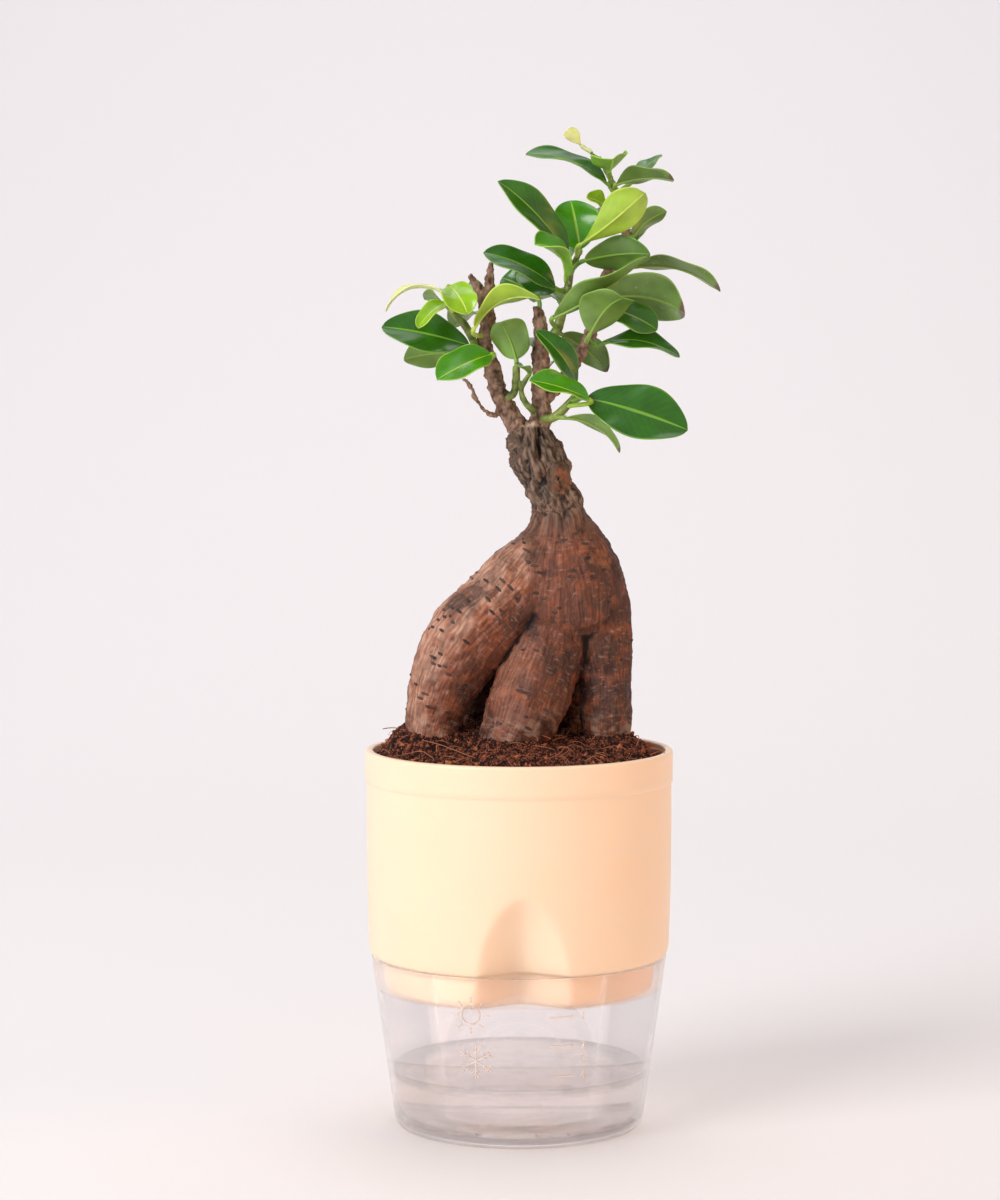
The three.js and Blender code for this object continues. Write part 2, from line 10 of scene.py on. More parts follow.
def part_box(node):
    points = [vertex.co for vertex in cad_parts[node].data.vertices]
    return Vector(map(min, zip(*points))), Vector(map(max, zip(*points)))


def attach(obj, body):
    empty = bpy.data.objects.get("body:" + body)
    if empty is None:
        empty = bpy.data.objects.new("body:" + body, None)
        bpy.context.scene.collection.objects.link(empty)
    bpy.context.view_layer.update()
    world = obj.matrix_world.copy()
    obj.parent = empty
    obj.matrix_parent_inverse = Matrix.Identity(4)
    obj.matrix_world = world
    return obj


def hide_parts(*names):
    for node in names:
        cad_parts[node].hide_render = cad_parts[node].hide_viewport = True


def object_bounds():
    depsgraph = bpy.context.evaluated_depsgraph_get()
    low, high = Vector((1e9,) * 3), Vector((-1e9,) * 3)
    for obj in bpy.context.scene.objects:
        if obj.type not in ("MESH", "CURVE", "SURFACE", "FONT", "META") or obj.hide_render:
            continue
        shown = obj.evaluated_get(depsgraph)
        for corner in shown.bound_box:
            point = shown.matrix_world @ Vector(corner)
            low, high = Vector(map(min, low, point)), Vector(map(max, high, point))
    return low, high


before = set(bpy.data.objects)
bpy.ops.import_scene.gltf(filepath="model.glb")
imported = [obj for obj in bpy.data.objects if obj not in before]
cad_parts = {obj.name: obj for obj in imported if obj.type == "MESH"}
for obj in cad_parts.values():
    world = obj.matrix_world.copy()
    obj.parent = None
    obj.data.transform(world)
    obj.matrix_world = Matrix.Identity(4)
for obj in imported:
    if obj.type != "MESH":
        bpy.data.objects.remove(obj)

mm = 0.001
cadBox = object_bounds()


# helpers

def srgb(code, alpha=1.0):
    channels = [int(code[i:i + 2], 16) / 255 for i in (1, 3, 5)]
    return [c / 12.92 if c <= 0.04045 else ((c + 0.055) / 1.055) ** 2.4 for c in channels] + [alpha]


def addNode(tree, kind, inputs=None, **settings):
    # an input is a value, a socket, or a node whose first output is meant
    node = tree.nodes.new(kind)
    for name, value in settings.items():
        setattr(node, name, value)
    for key, value in (inputs or {}).items():
        if isinstance(value, bpy.types.Node):
            value = value.outputs[0]
        if isinstance(value, bpy.types.NodeSocket):
            tree.links.new(value, node.inputs[key])
        else:
            node.inputs[key].default_value = value
    return node


def addNodes(tree, kind, known, rows):
    # a chain of nodes: a name for the result, the operation and its inputs, where a text is an earlier result
    for name, operation, *inputs in rows:
        values = {i: known[value] if isinstance(value, str) else value for i, value in enumerate(inputs)}
        known[name] = addNode(tree, kind, values, operation=operation)
    return known


def newMaterial(name, **values):
    material = bpy.data.materials.new(name)
    material.use_nodes = True
    shader = material.node_tree.nodes["Principled BSDF"]
    for key, value in values.items():
        shader.inputs[key.replace("_", " ")].default_value = value
    return material, material.node_tree, shader


def noiseBump(tree, shader, place, size, strength, depth, detail=2.0, below=None):
    # fine relief on a material, over any bump below it: grain size and depth in mm
    grain = addNode(tree, "ShaderNodeTexNoise", {"Vector": place, "Scale": 1 / (size * mm), "Detail": detail})
    bump = addNode(tree, "ShaderNodeBump",
                   {"Height": grain.outputs["Fac"], "Strength": strength, "Distance": depth * mm})
    if below:
        tree.links.new(below.outputs[0], bump.inputs["Normal"])
    tree.links.new(bump.outputs[0], shader.inputs["Normal"])


def newTree(name, sockets):
    tree = bpy.data.node_groups.new(name, "GeometryNodeTree")
    tree.interface.new_socket("Geometry", in_out="INPUT", socket_type="NodeSocketGeometry")
    for label, kind in sockets:
        tree.interface.new_socket(label, in_out="INPUT", socket_type="NodeSocket" + kind)
    tree.interface.new_socket("Geometry", in_out="OUTPUT", socket_type="NodeSocketGeometry")
    return tree, addNode(tree, "NodeGroupInput").outputs


def endTree(tree, geometry, material):
    realized = addNode(tree, "GeometryNodeRealizeInstances", {"Geometry": geometry})
    finished = addNode(tree, "GeometryNodeSetMaterial",
                       {"Geometry": realized, "Material": material})
    addNode(tree, "NodeGroupOutput", {0: finished})


def newObject(name, data):
    thing = bpy.data.objects.new(name, data)
    bpy.context.scene.collection.objects.link(thing)
    return thing


def meshObject(name, vertices, faces, smooth=True):
    mesh = bpy.data.meshes.new(name)
    mesh.from_pydata([tuple(v) for v in vertices], [], faces)
    mesh.polygons.foreach_set("use_smooth", [smooth] * len(mesh.polygons))
    mesh.update()
    return newObject(name, mesh)


def madePlain(host, name):
    # the evaluated shape as a plain mesh; the host and its modifiers go
    depsgraph = bpy.context.evaluated_depsgraph_get()
    mesh = bpy.data.meshes.new_from_object(host.evaluated_get(depsgraph), depsgraph=depsgraph)
    bpy.data.objects.remove(host)
    mesh.name = name
    mesh.polygons.foreach_set("use_smooth", [True] * len(mesh.polygons))
    return newObject(name, mesh)


def grown(host, tree, name, **values):
    modifier = host.modifiers.new("nodes", "NODES")
    modifier.node_group = tree
    for item in tree.interface.items_tree:
        if item.in_out == "INPUT" and item.name.replace(" ", "") in values:
            modifier[item.identifier] = values[item.name.replace(" ", "")]
    return madePlain(host, name)


def joinedMeshes(name, pieces):
    # later pieces keep their materials behind those of the first
    whole = bmesh.new()
    slots = []
    for piece in pieces:
        offset = {}
        for i, material in enumerate(piece.data.materials):
            if material not in slots:
                slots.append(material)
            offset[i] = slots.index(material)
        for polygon in piece.data.polygons:
            polygon.material_index = offset.get(polygon.material_index, 0)
        whole.from_mesh(piece.data)
    mesh = bpy.data.meshes.new(name)
    whole.to_mesh(mesh)
    whole.free()
    for material in slots:
        mesh.materials.append(material)
    for piece in pieces:
        bpy.data.objects.remove(piece)
    mesh.polygons.foreach_set("use_smooth", [True] * len(mesh.polygons))
    return newObject(name, mesh)


def outwards(piece):
    shape = bmesh.new()
    shape.from_mesh(piece.data)
    bmesh.ops.remove_doubles(shape, verts=shape.verts, dist=0.001 * mm)
    bmesh.ops.recalc_face_normals(shape, faces=shape.faces)
    shape.to_mesh(piece.data)
    shape.free()


def finishPiece(piece, slot, *nodes, material=None):
    if material:
        piece.data.materials.clear()
        piece.data.materials.append(material)
    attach(piece, "root")
    if nodes:
        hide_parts(*nodes)
    return piece


def partOf(piece, name, isKept):
    # a new object with only some of a piece's faces
    shape = bmesh.new()
    shape.from_mesh(piece.data)
    bmesh.ops.delete(shape, geom=[face for face in shape.faces if not isKept(face)], context="FACES")
    mesh = bpy.data.meshes.new(name)
    shape.to_mesh(mesh)
    shape.free()
    return newObject(name, mesh)


def pointTree(piece):
    # finds the nearest point of a piece, in mm
    points = kdtree.KDTree(len(piece.data.vertices))
    for i, v in enumerate(piece.data.vertices):
        points.insert(v.co / mm, i)
    points.balance()
    return points


def between(low, high, value):
    t = min(1.0, max(0.0, (value - low) / (high - low)))
    return t * t * (3 - 2 * t)


# Turned shapes: an outline of (radius, height) points, where a pair of points is a bend and its end.
def outlinePoints(start, steps, spacing, bendSteps=8):
    points = [Vector(start)]
    for step in steps:
        last = points[-1]
        if isinstance(step[0], tuple):
            bend, end = Vector(step[0]), Vector(step[1])
            for k in range(1, bendSteps + 1):
                t = k / bendSteps
                points.append((1 - t) ** 2 * last + 2 * t * (1 - t) * bend + t * t * end)
        else:
            end = Vector(step)
            count = max(1, math.ceil((end - last).length / spacing))
            points += [last.lerp(end, k / count) for k in range(1, count + 1)]
    return points


def turnedPiece(name, points, segments, place=lambda p: p):
    closed = (points[0] - points[-1]).length < 1e-6
    rings = points[:-1] if closed else points
    vertices = []
    for radius, height in rings:
        for k in range(segments):
            angle = 2 * math.pi * k / segments
            spot = place(Vector((radius * math.sin(angle), -radius * math.cos(angle), height)))
            vertices.append(spot * mm)
    faces = []
    count = len(rings)
    for i in range(count if closed else count - 1):
        a, b = i * segments, ((i + 1) % count) * segments
        for k in range(segments):
            n = (k + 1) % segments
            faces.append((a + k, a + n, b + n, b + k))
    piece = meshObject(name, vertices, faces)
    outwards(piece)
    return piece


# The pot

pot = {
    "tints": ("#FCD9B9", "#FEE0C3"),
    "rimRadius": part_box("planter")[1].x / mm,
    "height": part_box("planter")[1].z / mm,
    "foot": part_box("planter")[0].z / mm,
    "seat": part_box("reservoir")[1].z / mm,
    "wall": 2.5,
    "floor": 2.3,
    "nest": 45.0,
    "band": 112.6,
    "knee": 98.0,
    "wickHole": 6.0,
    "gap": 0.3,
}
scoop = {"middle": 1.0, "halfWidth": 15.0, "top": 82.0, "depth": 10.8}
drain = {"count": 6, "radius": 2.2, "circle": 22.0}
reservoir = {
    "tint": "#FFFBFC",
    "waterTint": "#FFF5EE",
    "waterGap": 0.12,
    "foot": 39.8,
    "rim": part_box("reservoir")[1].y / mm,
    "wall": 1.8,
    "floor": 3.2,
    "corner": 1.8,
    "step": 0.9,
    "stepOuter": 28.0,
    "stepInner": 22.0,
    "water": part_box("water")[1].z / mm,
}


def scoopDepth(x, z):
    rise = min(1.0, max(0.0, (z - pot["foot"]) / (scoop["top"] - pot["foot"])))
    half = scoop["halfWidth"] * (1 - rise ** 2.6) ** 0.6
    across = min(1.0, abs(x - scoop["middle"]) / half) if half > 0 else 1.0
    return scoop["depth"] * (1 - rise * rise) * max(0.0, math.cos(across * math.pi / 2)) ** 1.15


def scooped(spot, looser=1.0):
    radius = math.hypot(spot.x, spot.y)
    if spot.y > 0 or radius < 1e-6:
        return spot
    depth = looser * scoopDepth(scoop["middle"] + (spot.x - scoop["middle"]) / looser, spot.z)
    pushed = (radius - depth * between(9, 32, radius)) / radius
    return Vector((spot.x * pushed, spot.y * pushed, spot.z))


def creamPlastic():
    # injection-moulded polypropylene: satin, a little soft inside, with a fine mould texture
    material, tree, shader = newMaterial("mouldedPolypropyleneCream", Roughness=0.36, IOR=1.49)
    shader.inputs["Subsurface Weight"].default_value = 0.3
    shader.inputs["Subsurface Radius"].default_value = (1.0, 0.55, 0.3)
    shader.inputs["Subsurface Scale"].default_value = 2 * mm
    coordinates = addNode(tree, "ShaderNodeTexCoord").outputs["Object"]
    cloud = addNode(tree, "ShaderNodeTexNoise", {"Vector": coordinates, "Scale": 1 / (30 * mm)})
    pale, paler = pot["tints"]
    tint = addNode(tree, "ShaderNodeMix", {0: cloud.outputs["Fac"], 6: srgb(pale), 7: srgb(paler)},
                   data_type="RGBA")
    tree.links.new(tint.outputs[2], shader.inputs["Base Color"])
    # the mould's grain is 0.1 mm, drawn at 0.35 mm so that it shows
    noiseBump(tree, shader, coordinates, 0.35, 0.06, 0.05)
    return material


def lightThrough(tree, shader):
    # lamps shine nearly unhindered through a clear wall, so that what is behind it isn't in its shadow
    shaded = addNode(tree, "ShaderNodeLightPath").outputs["Is Shadow Ray"]
    solid = addNode(tree, "ShaderNodeMath", {0: shaded, 1: -0.5, 2: 0.62}, operation="MULTIPLY_ADD")
    tree.links.new(solid.outputs[0], shader.inputs["Alpha"])


def clearPlastic():
    # injection-moulded polystyrene: clear and glossy, with faint flow waves and handling haze
    material, tree, shader = newMaterial("clearPolystyrene", IOR=1.5, Roughness=0.03)
    shader.inputs["Transmission Weight"].default_value = 1.0
    shader.inputs["Base Color"].default_value = srgb(reservoir["tint"])
    lightThrough(tree, shader)
    coordinates = addNode(tree, "ShaderNodeTexCoord").outputs["Object"]
    haze = addNode(tree, "ShaderNodeTexNoise", {"Vector": coordinates, "Scale": 1 / (9 * mm), "Detail": 4.0})
    dull = addNode(tree, "ShaderNodeMapRange", {"Value": haze.outputs["Fac"], "To Min": 0.01, "To Max": 0.07})
    tree.links.new(dull.outputs[0], shader.inputs["Roughness"])
    noiseBump(tree, shader, coordinates, 14, 0.15, 0.3)
    return material


def waterMaterial():
    # tap water, tinted very slightly by the peat
    material, tree, shader = newMaterial("peatTintedWater", IOR=1.333, Roughness=0.0)
    shader.inputs["Transmission Weight"].default_value = 1.0
    shader.inputs["Base Color"].default_value = srgb(reservoir["waterTint"])
    lightThrough(tree, shader)
    coordinates = addNode(tree, "ShaderNodeTexCoord").outputs["Object"]
    noiseBump(tree, shader, coordinates, 20, 0.05, 0.2)
    return material


def makePlanter():
    rim, height, foot = pot["rimRadius"], pot["height"], pot["foot"]
    ledge = pot["seat"] + pot["gap"]
    inner, nestInner = rim - pot["wall"], pot["nest"] - pot["wall"]
    floorTop = foot + pot["floor"]
    points = outlinePoints((pot["wickHole"], foot), [
        (pot["nest"] - 4.1, foot),
        ((pot["nest"] - 1.4, foot), (pot["nest"] - 1.1, foot + 3)),
        (pot["nest"], ledge),
        (reservoir["rim"] - 0.4, ledge),
        ((rim - 1.2, ledge + 0.3), (rim - 1, ledge + 5)),
        (rim - 0.5, scoop["top"]),
        (rim - 0.35, pot["knee"]),
        (rim - 0.4, pot["band"] - 0.5),
        ((rim - 0.35, pot["band"]), (rim, pot["band"] + 0.4)),  # the faint moulded line
        (rim, height - 1),
        ((rim, height), (rim - 1, height)),
        (inner + 0.7, height),
        ((inner, height), (inner, height - 0.7)),
        (inner, pot["knee"]),
        (inner - 0.4, scoop["top"]),
        (inner - 0.9, ledge + 6),
        ((inner - 1.2, ledge + 2.4), (nestInner + 0.2, ledge + 2.2)),
        (nestInner - 1.1, floorTop + 1.3),
        ((nestInner - 1.4, floorTop), (nestInner - 3, floorTop)),
        (pot["wickHole"], floorTop),
        (pot["wickHole"], foot),
    ], 1.5, 6)
    shell = turnedPiece("planterShell", points, 240, scooped)
    cutter = bmesh.new()
    for i in range(drain["count"]):
        angle = (i + 0.5) / drain["count"] * 2 * math.pi
        made = bmesh.ops.create_cone(cutter, cap_ends=True, segments=24, radius1=drain["radius"] * mm,
                                     radius2=drain["radius"] * mm, depth=8 * mm)
        spot = Vector((math.sin(angle), -math.cos(angle), 0)) * drain["circle"]
        spot.z = foot + 1
        bmesh.ops.translate(cutter, verts=made["verts"], vec=spot * mm)
    cutterMesh = bpy.data.meshes.new("drainHoles")
    cutter.to_mesh(cutterMesh)
    cutter.free()
    cutterObject = newObject("drainHoles", cutterMesh)
    holes = shell.modifiers.new("holes", "BOOLEAN")
    holes.operation = "DIFFERENCE"
    holes.object = cutterObject
    shell = madePlain(shell, "planterShell")
    bpy.data.objects.remove(cutterObject)
    finishPiece(shell, "cream_plastic", "planter", material=creamPlastic())


def wallRadius(z):
    # outside of the reservoir at a height
    low = reservoir["foot"] + 0.8
    return low + (z - 2.3) / (pot["seat"] - 2.3) * (reservoir["rim"] - low)


def makeReservoir(plastic):
    floor, foot, rim = reservoir["floor"], reservoir["foot"], reservoir["rim"]
    step, outer, inner = reservoir["step"], reservoir["stepOuter"], reservoir["stepInner"]
    top = pot["seat"]
    points = outlinePoints((0.01, 0), [
        (foot - 1.5, 0),
        ((foot + 0.2, 0), (foot + 0.8, 2.3)),
        (rim, top - 0.4),
        ((rim, top), (rim - 0.4, top)),
        (rim - reservoir["wall"] + 0.4, top),
        ((rim - reservoir["wall"], top), (rim - reservoir["wall"], top - 0.4)),
        (foot - 0.6, floor + reservoir["corner"]),
        ((foot - 1.2, floor), (foot - 3.4, floor)),
        (outer + 0.5, floor),
        ((outer + 0.1, floor), (outer, floor + step)),
        (inner, floor + step),
        ((inner - 0.4, floor + step), (inner - 0.5, floor + 2 * step)),
        (0.01, floor + 2 * step),
        (0.01, 0),
    ], 4, 6)
    finishPiece(turnedPiece("reservoirCup", points, 192), "clear_plastic", "reservoir", material=plastic)


def makeWater():
    gap = reservoir["waterGap"]
    floor, outer, inner = reservoir["floor"] + gap, reservoir["stepOuter"], reservoir["stepInner"]
    step, foot, level = reservoir["step"], reservoir["foot"], reservoir["water"]

    def innerWall(z):
        low = foot - 0.6
        return low + (z - 5) / (pot["seat"] - 5) * (reservoir["rim"] - reservoir["wall"] - low)

    points = outlinePoints((0.01, floor + 2 * step), [
        (inner - 0.4, floor + 2 * step),
        (inner + 0.1, floor + step),
        (outer + 0.2, floor + step),
        (outer + 0.7, floor),
        (foot - 3.6, floor),
        ((foot - 1.4, floor), (innerWall(floor + 1.8) - gap, floor + 1.8)),
        (innerWall(level) - gap, level),
        ((innerWall(level) - 0.4, level - 0.4), (innerWall(level) - 1.6, level - 0.45)),  # it climbs the wall
        (0.01, level - 0.45),
        (0.01, floor + 2 * step),
    ], 4, 6)
    finishPiece(turnedPiece("waterBody", points, 160), "water", "water", material=waterMaterial())


marks = {
    "relief": 0.4,
    "line": 0.6,
    "sun": (-15.7, 44.0),
    "flake": (-14.0, 29.0),
    "levels": (43.5, 34.0, 24.0),
    "levelFrom": 9.5,
    "levelTo": 17.0,
    "numbers": (43.5, 34.0, 29.5, 24.0),
    "numberAt": 20.5,
    "numberSize": 3.8,
}


def flatBar(shape, start, end, width):
    # a bar in the flat drawing plane, as wide as it is told and as deep as the relief
    start, end = Vector(start), Vector(end)
    along = (end - start).normalized()
    across = Vector((-along.y, along.x)) * width / 2
    pieces = max(1, math.ceil((end - start).length / 0.8))
    rows = []
    for k in range(pieces + 1):
        spot = start.lerp(end, k / pieces)
        corners = ((1, 0), (-1, 0), (-0.6, -1), (0.6, -1))
        places = [(spot + across * side, depth) for side, depth in corners]
        rows.append([shape.verts.new((place.x, depth, place.y)) for place, depth in places])
    for a, b in zip(rows, rows[1:]):
        for i in range(4):
            shape.faces.new((a[i], a[(i + 1) % 4], b[(i + 1) % 4], b[i]))
    shape.faces.new(rows[0][::-1])
    shape.faces.new(rows[-1])


def makeMarks():
    # water-level marks in low relief on the front wall: a sun, a snowflake, level lines and plain numbers
    shape = bmesh.new()
    x, z = marks["sun"]
    ring = [Vector((x + 3.0 * math.cos(a), z + 3.0 * math.sin(a))) for a in np.linspace(0, 2 * math.pi, 25)]
    for a, b in zip(ring, ring[1:]):
        flatBar(shape, a, b, marks["line"])
    for k in range(8):
        way = Vector((math.cos(k * math.pi / 4), math.sin(k * math.pi / 4)))
        flatBar(shape, Vector((x, z)) + way * 4.0, Vector((x, z)) + way * 6.0, marks["line"])
    x, z = marks["flake"]
    for k in range(6):
        angle = (k + 0.5) * math.pi / 3
        way = Vector((math.cos(angle), math.sin(angle)))
        flatBar(shape, (x, z), Vector((x, z)) + way * 5.8, marks["line"])
        for share in (0.45, 0.72):
            knee = Vector((x, z)) + way * 5.8 * share
            for turn in (-1, 1):
                side = Vector((math.cos(angle + turn * 0.8), math.sin(angle + turn * 0.8)))
                flatBar(shape, knee, knee + side * 1.5, marks["line"] * 0.8)
    for height in marks["levels"]:
        flatBar(shape, (marks["levelFrom"], height), (marks["levelTo"], height), marks["line"])
    flat = bpy.data.meshes.new("levelMarks")
    shape.to_mesh(flat)
    shape.free()
    pieces = [newObject("levelBars", flat)]
    for number, height in zip("1234", marks["numbers"]):
        text = bpy.data.curves.new("levelNumber", "FONT")
        text.body = number
        text.size = marks["numberSize"]
        text.extrude = 0.5
        text.align_x = "CENTER"
        text.align_y = "CENTER"
        holder = newObject("levelNumber", text)
        digit = madePlain(holder, "levelNumber")
        for v in digit.data.vertices:
            v.co = Vector((v.co.x + marks["numberAt"], -0.5 - v.co.z, v.co.y + height))
        pieces.append(digit)
    whole = joinedMeshes("levelMarks", pieces)
    for v in whole.data.vertices:
        radius = wallRadius(v.co.z) - 0.05 - v.co.y * marks["relief"]
        angle = v.co.x / wallRadius(v.co.z)
        v.co = Vector((radius * math.sin(angle), -radius * math.cos(angle), v.co.z)) * mm
    outwards(whole)
    frosted = newMaterial("frostedPolystyrene", Roughness=0.45, Alpha=0.55)[0]
    frosted.node_tree.nodes["Principled BSDF"].inputs["Base Color"].default_value = srgb("#F7E4DA")
    finishPiece(whole, "clear_plastic", material=frosted)


# The peat

peat = {
    "edge": 121.4,
    "crown": 1.4,
    # the place, width and height of each heap
    "heaps": [((-32, -8), 14, 9.5), ((29, -6), 13, 7), ((-4, 7), 19, 11), ((-2, -22), 17, 5)],
}
peatTones = {
    "moist": ("moistCocoPeat", "#1E0F0B", "#4C281E", "#8C5039"),
    "dry": ("dryCoirDust", "#3A1D15", "#70402D", "#B06C4B"),
    "ruddy": ("coarseCoirPith", "#5F3325", "#8A4C34", "#B4714E"),
}
# clearance from the roots in mm, crumbs to the square metre, smallest and largest in mm, detail, seed, tone
peatCrumbs = {
    "peatCrumbs": (0.1, 1.65e6, 0.2, 0.58, 1, 4, "moist"),
    "coirDust": (0.0, 1.6e6, 0.14, 0.36, 1, 6, "dry"),
    "peatLumps": (1.0, 0.045e6, 0.4, 1.2, 2, 9, "ruddy"),
}
fibre = {"clearance": 0.6, "density": 0.02e6, "length": 6.5, "bend": 2.4, "thickness": 0.1, "seed": 12}
washed = {"density": 2.2e6, "smallest": 0.14, "largest": 0.5, "seed": 21}
# a few long fibres lie loose on top: rows of [x, y, z, radius]
longFibres = [
    [[-31, -20, 128, 0.13], [-25, -24.5, 127, 0.14], [-18, -30, 125, 0.14], [-12, -35, 123.4, 0.1]],
    [[-36, -24, 124, 0.1], [-31, -29, 125.5, 0.12], [-27, -33, 123.6, 0.1]],
    [[12, -30, 126.4, 0.1], [14, -33, 127.4, 0.11], [12.4, -36, 125.6, 0.11], [9, -37, 124.2, 0.08]],
    [[26, -26, 126, 0.08], [31, -27, 127, 0.1], [35, -25, 125, 0.08]],
]


def peatHeight(x, y, inner):
    inside = 1 - between(0.88, 1, math.hypot(x, y) / inner)
    rise = sum(height * math.exp(-((x - at[0]) ** 2 + (y - at[1]) ** 2) / spread ** 2)
               for at, spread, height in peat["heaps"])
    return inside * rise


def peatMaterial(name, darkHex, midHex, lightHex):
    # moist coco peat: matt reddish-brown crumbs with paler coir dust
    material, tree, shader = newMaterial(name, Roughness=0.92)
    shader.inputs["Specular IOR Level"].default_value = 0.25
    coordinates = addNode(tree, "ShaderNodeTexCoord").outputs["Object"]
    clumps = addNode(tree, "ShaderNodeTexNoise",
                     {"Vector": coordinates, "Scale": 1 / (2.2 * mm), "Detail": 5.0})
    crumb = addNode(tree, "ShaderNodeNewGeometry").outputs["Random Per Island"]
    own = addNode(tree, "ShaderNodeMapRange", {"Value": crumb, "To Min": -0.16, "To Max": 0.16})
    place = addNode(tree, "ShaderNodeMath", {0: clumps.outputs["Fac"], 1: own}, operation="ADD")
    ramp = addNode(tree, "ShaderNodeValToRGB", {"Fac": place})
    ramp.color_ramp.elements[0].position = 0.36
    ramp.color_ramp.elements[0].color = srgb(darkHex)
    ramp.color_ramp.elements[1].position = 0.66
    ramp.color_ramp.elements[1].color = srgb(lightHex)
    middle = ramp.color_ramp.elements.new(0.5)
    middle.color = srgb(midHex)
    tree.links.new(ramp.outputs[0], shader.inputs["Base Color"])
    noiseBump(tree, shader, coordinates, 0.5, 0.7, 0.4, 3.0)
    return material


def scatterTree():
    # irregular crumbs scattered over a surface
    tree, given = newTree("crumbScatter", [("Density", "Float"), ("Smallest", "Float"), ("Largest", "Float"),
                                           ("Detail", "Int"), ("Seed", "Int"), ("Material", "Material")])
    points = addNode(tree, "GeometryNodeDistributePointsOnFaces",
                     {"Mesh": given["Geometry"], "Density": given["Density"], "Seed": given["Seed"]})
    crumb = addNode(tree, "GeometryNodeMeshIcoSphere", {"Radius": 1.0, "Subdivisions": given["Detail"]})
    lumps = addNode(tree, "ShaderNodeTexNoise", {"Scale": 1.1, "Detail": 2.0})
    centred = addNode(tree, "ShaderNodeVectorMath", {0: lumps.outputs["Color"], 1: (0.5, 0.5, 0.5)},
                      operation="SUBTRACT")
    swing = addNode(tree, "ShaderNodeVectorMath", {0: centred, "Scale": 2.2}, operation="SCALE")
    rough = addNode(tree, "GeometryNodeSetPosition", {"Geometry": crumb, "Offset": swing})
    turn = addNode(tree, "FunctionNodeRandomValue",
                   {0: (0.0, 0.0, 0.0), 1: (6.3, 6.3, 6.3), "Seed": given["Seed"]}, data_type="FLOAT_VECTOR")
    size = addNode(tree, "FunctionNodeRandomValue",
                   {2: given["Smallest"], 3: given["Largest"], "Seed": given["Seed"]}, data_type="FLOAT")
    squash = addNode(tree, "ShaderNodeCombineXYZ",
                     {"X": size.outputs[1], "Y": size.outputs[1], "Z": size.outputs[1]})
    flatter = addNode(tree, "ShaderNodeVectorMath", {0: squash, 1: (1.25, 0.85, 0.7)},
                      operation="MULTIPLY")
    spread = addNode(tree, "GeometryNodeInstanceOnPoints",
                     {"Points": points.outputs["Points"], "Instance": rough,
                      "Rotation": turn, "Scale": flatter})
    endTree(tree, spread, given["Material"])
    return tree


def fibreTree():
    # short bent coir fibres lying about on a surface
    tree, given = newTree("fibreScatter", [("Density", "Float"), ("Length", "Float"), ("Bend", "Float"),
                                           ("Thickness", "Float"), ("Seed", "Int"), ("Material", "Material")])
    points = addNode(tree, "GeometryNodeDistributePointsOnFaces",
                     {"Mesh": given["Geometry"], "Density": given["Density"], "Seed": given["Seed"]})
    half = addNode(tree, "ShaderNodeMath", {0: given["Length"], 1: 0.5}, operation="MULTIPLY")
    back = addNode(tree, "ShaderNodeMath", {0: given["Length"], 1: -0.5}, operation="MULTIPLY")
    low = addNode(tree, "ShaderNodeCombineXYZ", {"X": back})
    high = addNode(tree, "ShaderNodeCombineXYZ", {"X": half})
    knee = addNode(tree, "ShaderNodeCombineXYZ", {"Y": given["Bend"], "Z": given["Bend"]})
    line = addNode(tree, "GeometryNodeCurveQuadraticBezier",
                   {"Resolution": 7, "Start": low, "Middle": knee, "End": high})
    section = addNode(tree, "GeometryNodeCurvePrimitiveCircle",
                      {"Resolution": 4, "Radius": given["Thickness"]})
    strand = addNode(tree, "GeometryNodeCurveToMesh",
                     {"Curve": line, "Profile Curve": section, "Fill Caps": True})
    turn = addNode(tree, "FunctionNodeRandomValue",
                   {0: (-0.5, -0.3, 0.0), 1: (0.5, 0.3, 6.3), "Seed": given["Seed"]},
                   data_type="FLOAT_VECTOR")
    size = addNode(tree, "FunctionNodeRandomValue", {2: 0.5, 3: 1.5, "Seed": given["Seed"]},
                   data_type="FLOAT")
    spread = addNode(tree, "GeometryNodeInstanceOnPoints",
                     {"Points": points.outputs["Points"], "Instance": strand,
                      "Rotation": turn, "Scale": size.outputs[1]})
    endTree(tree, spread, given["Material"])
    return tree


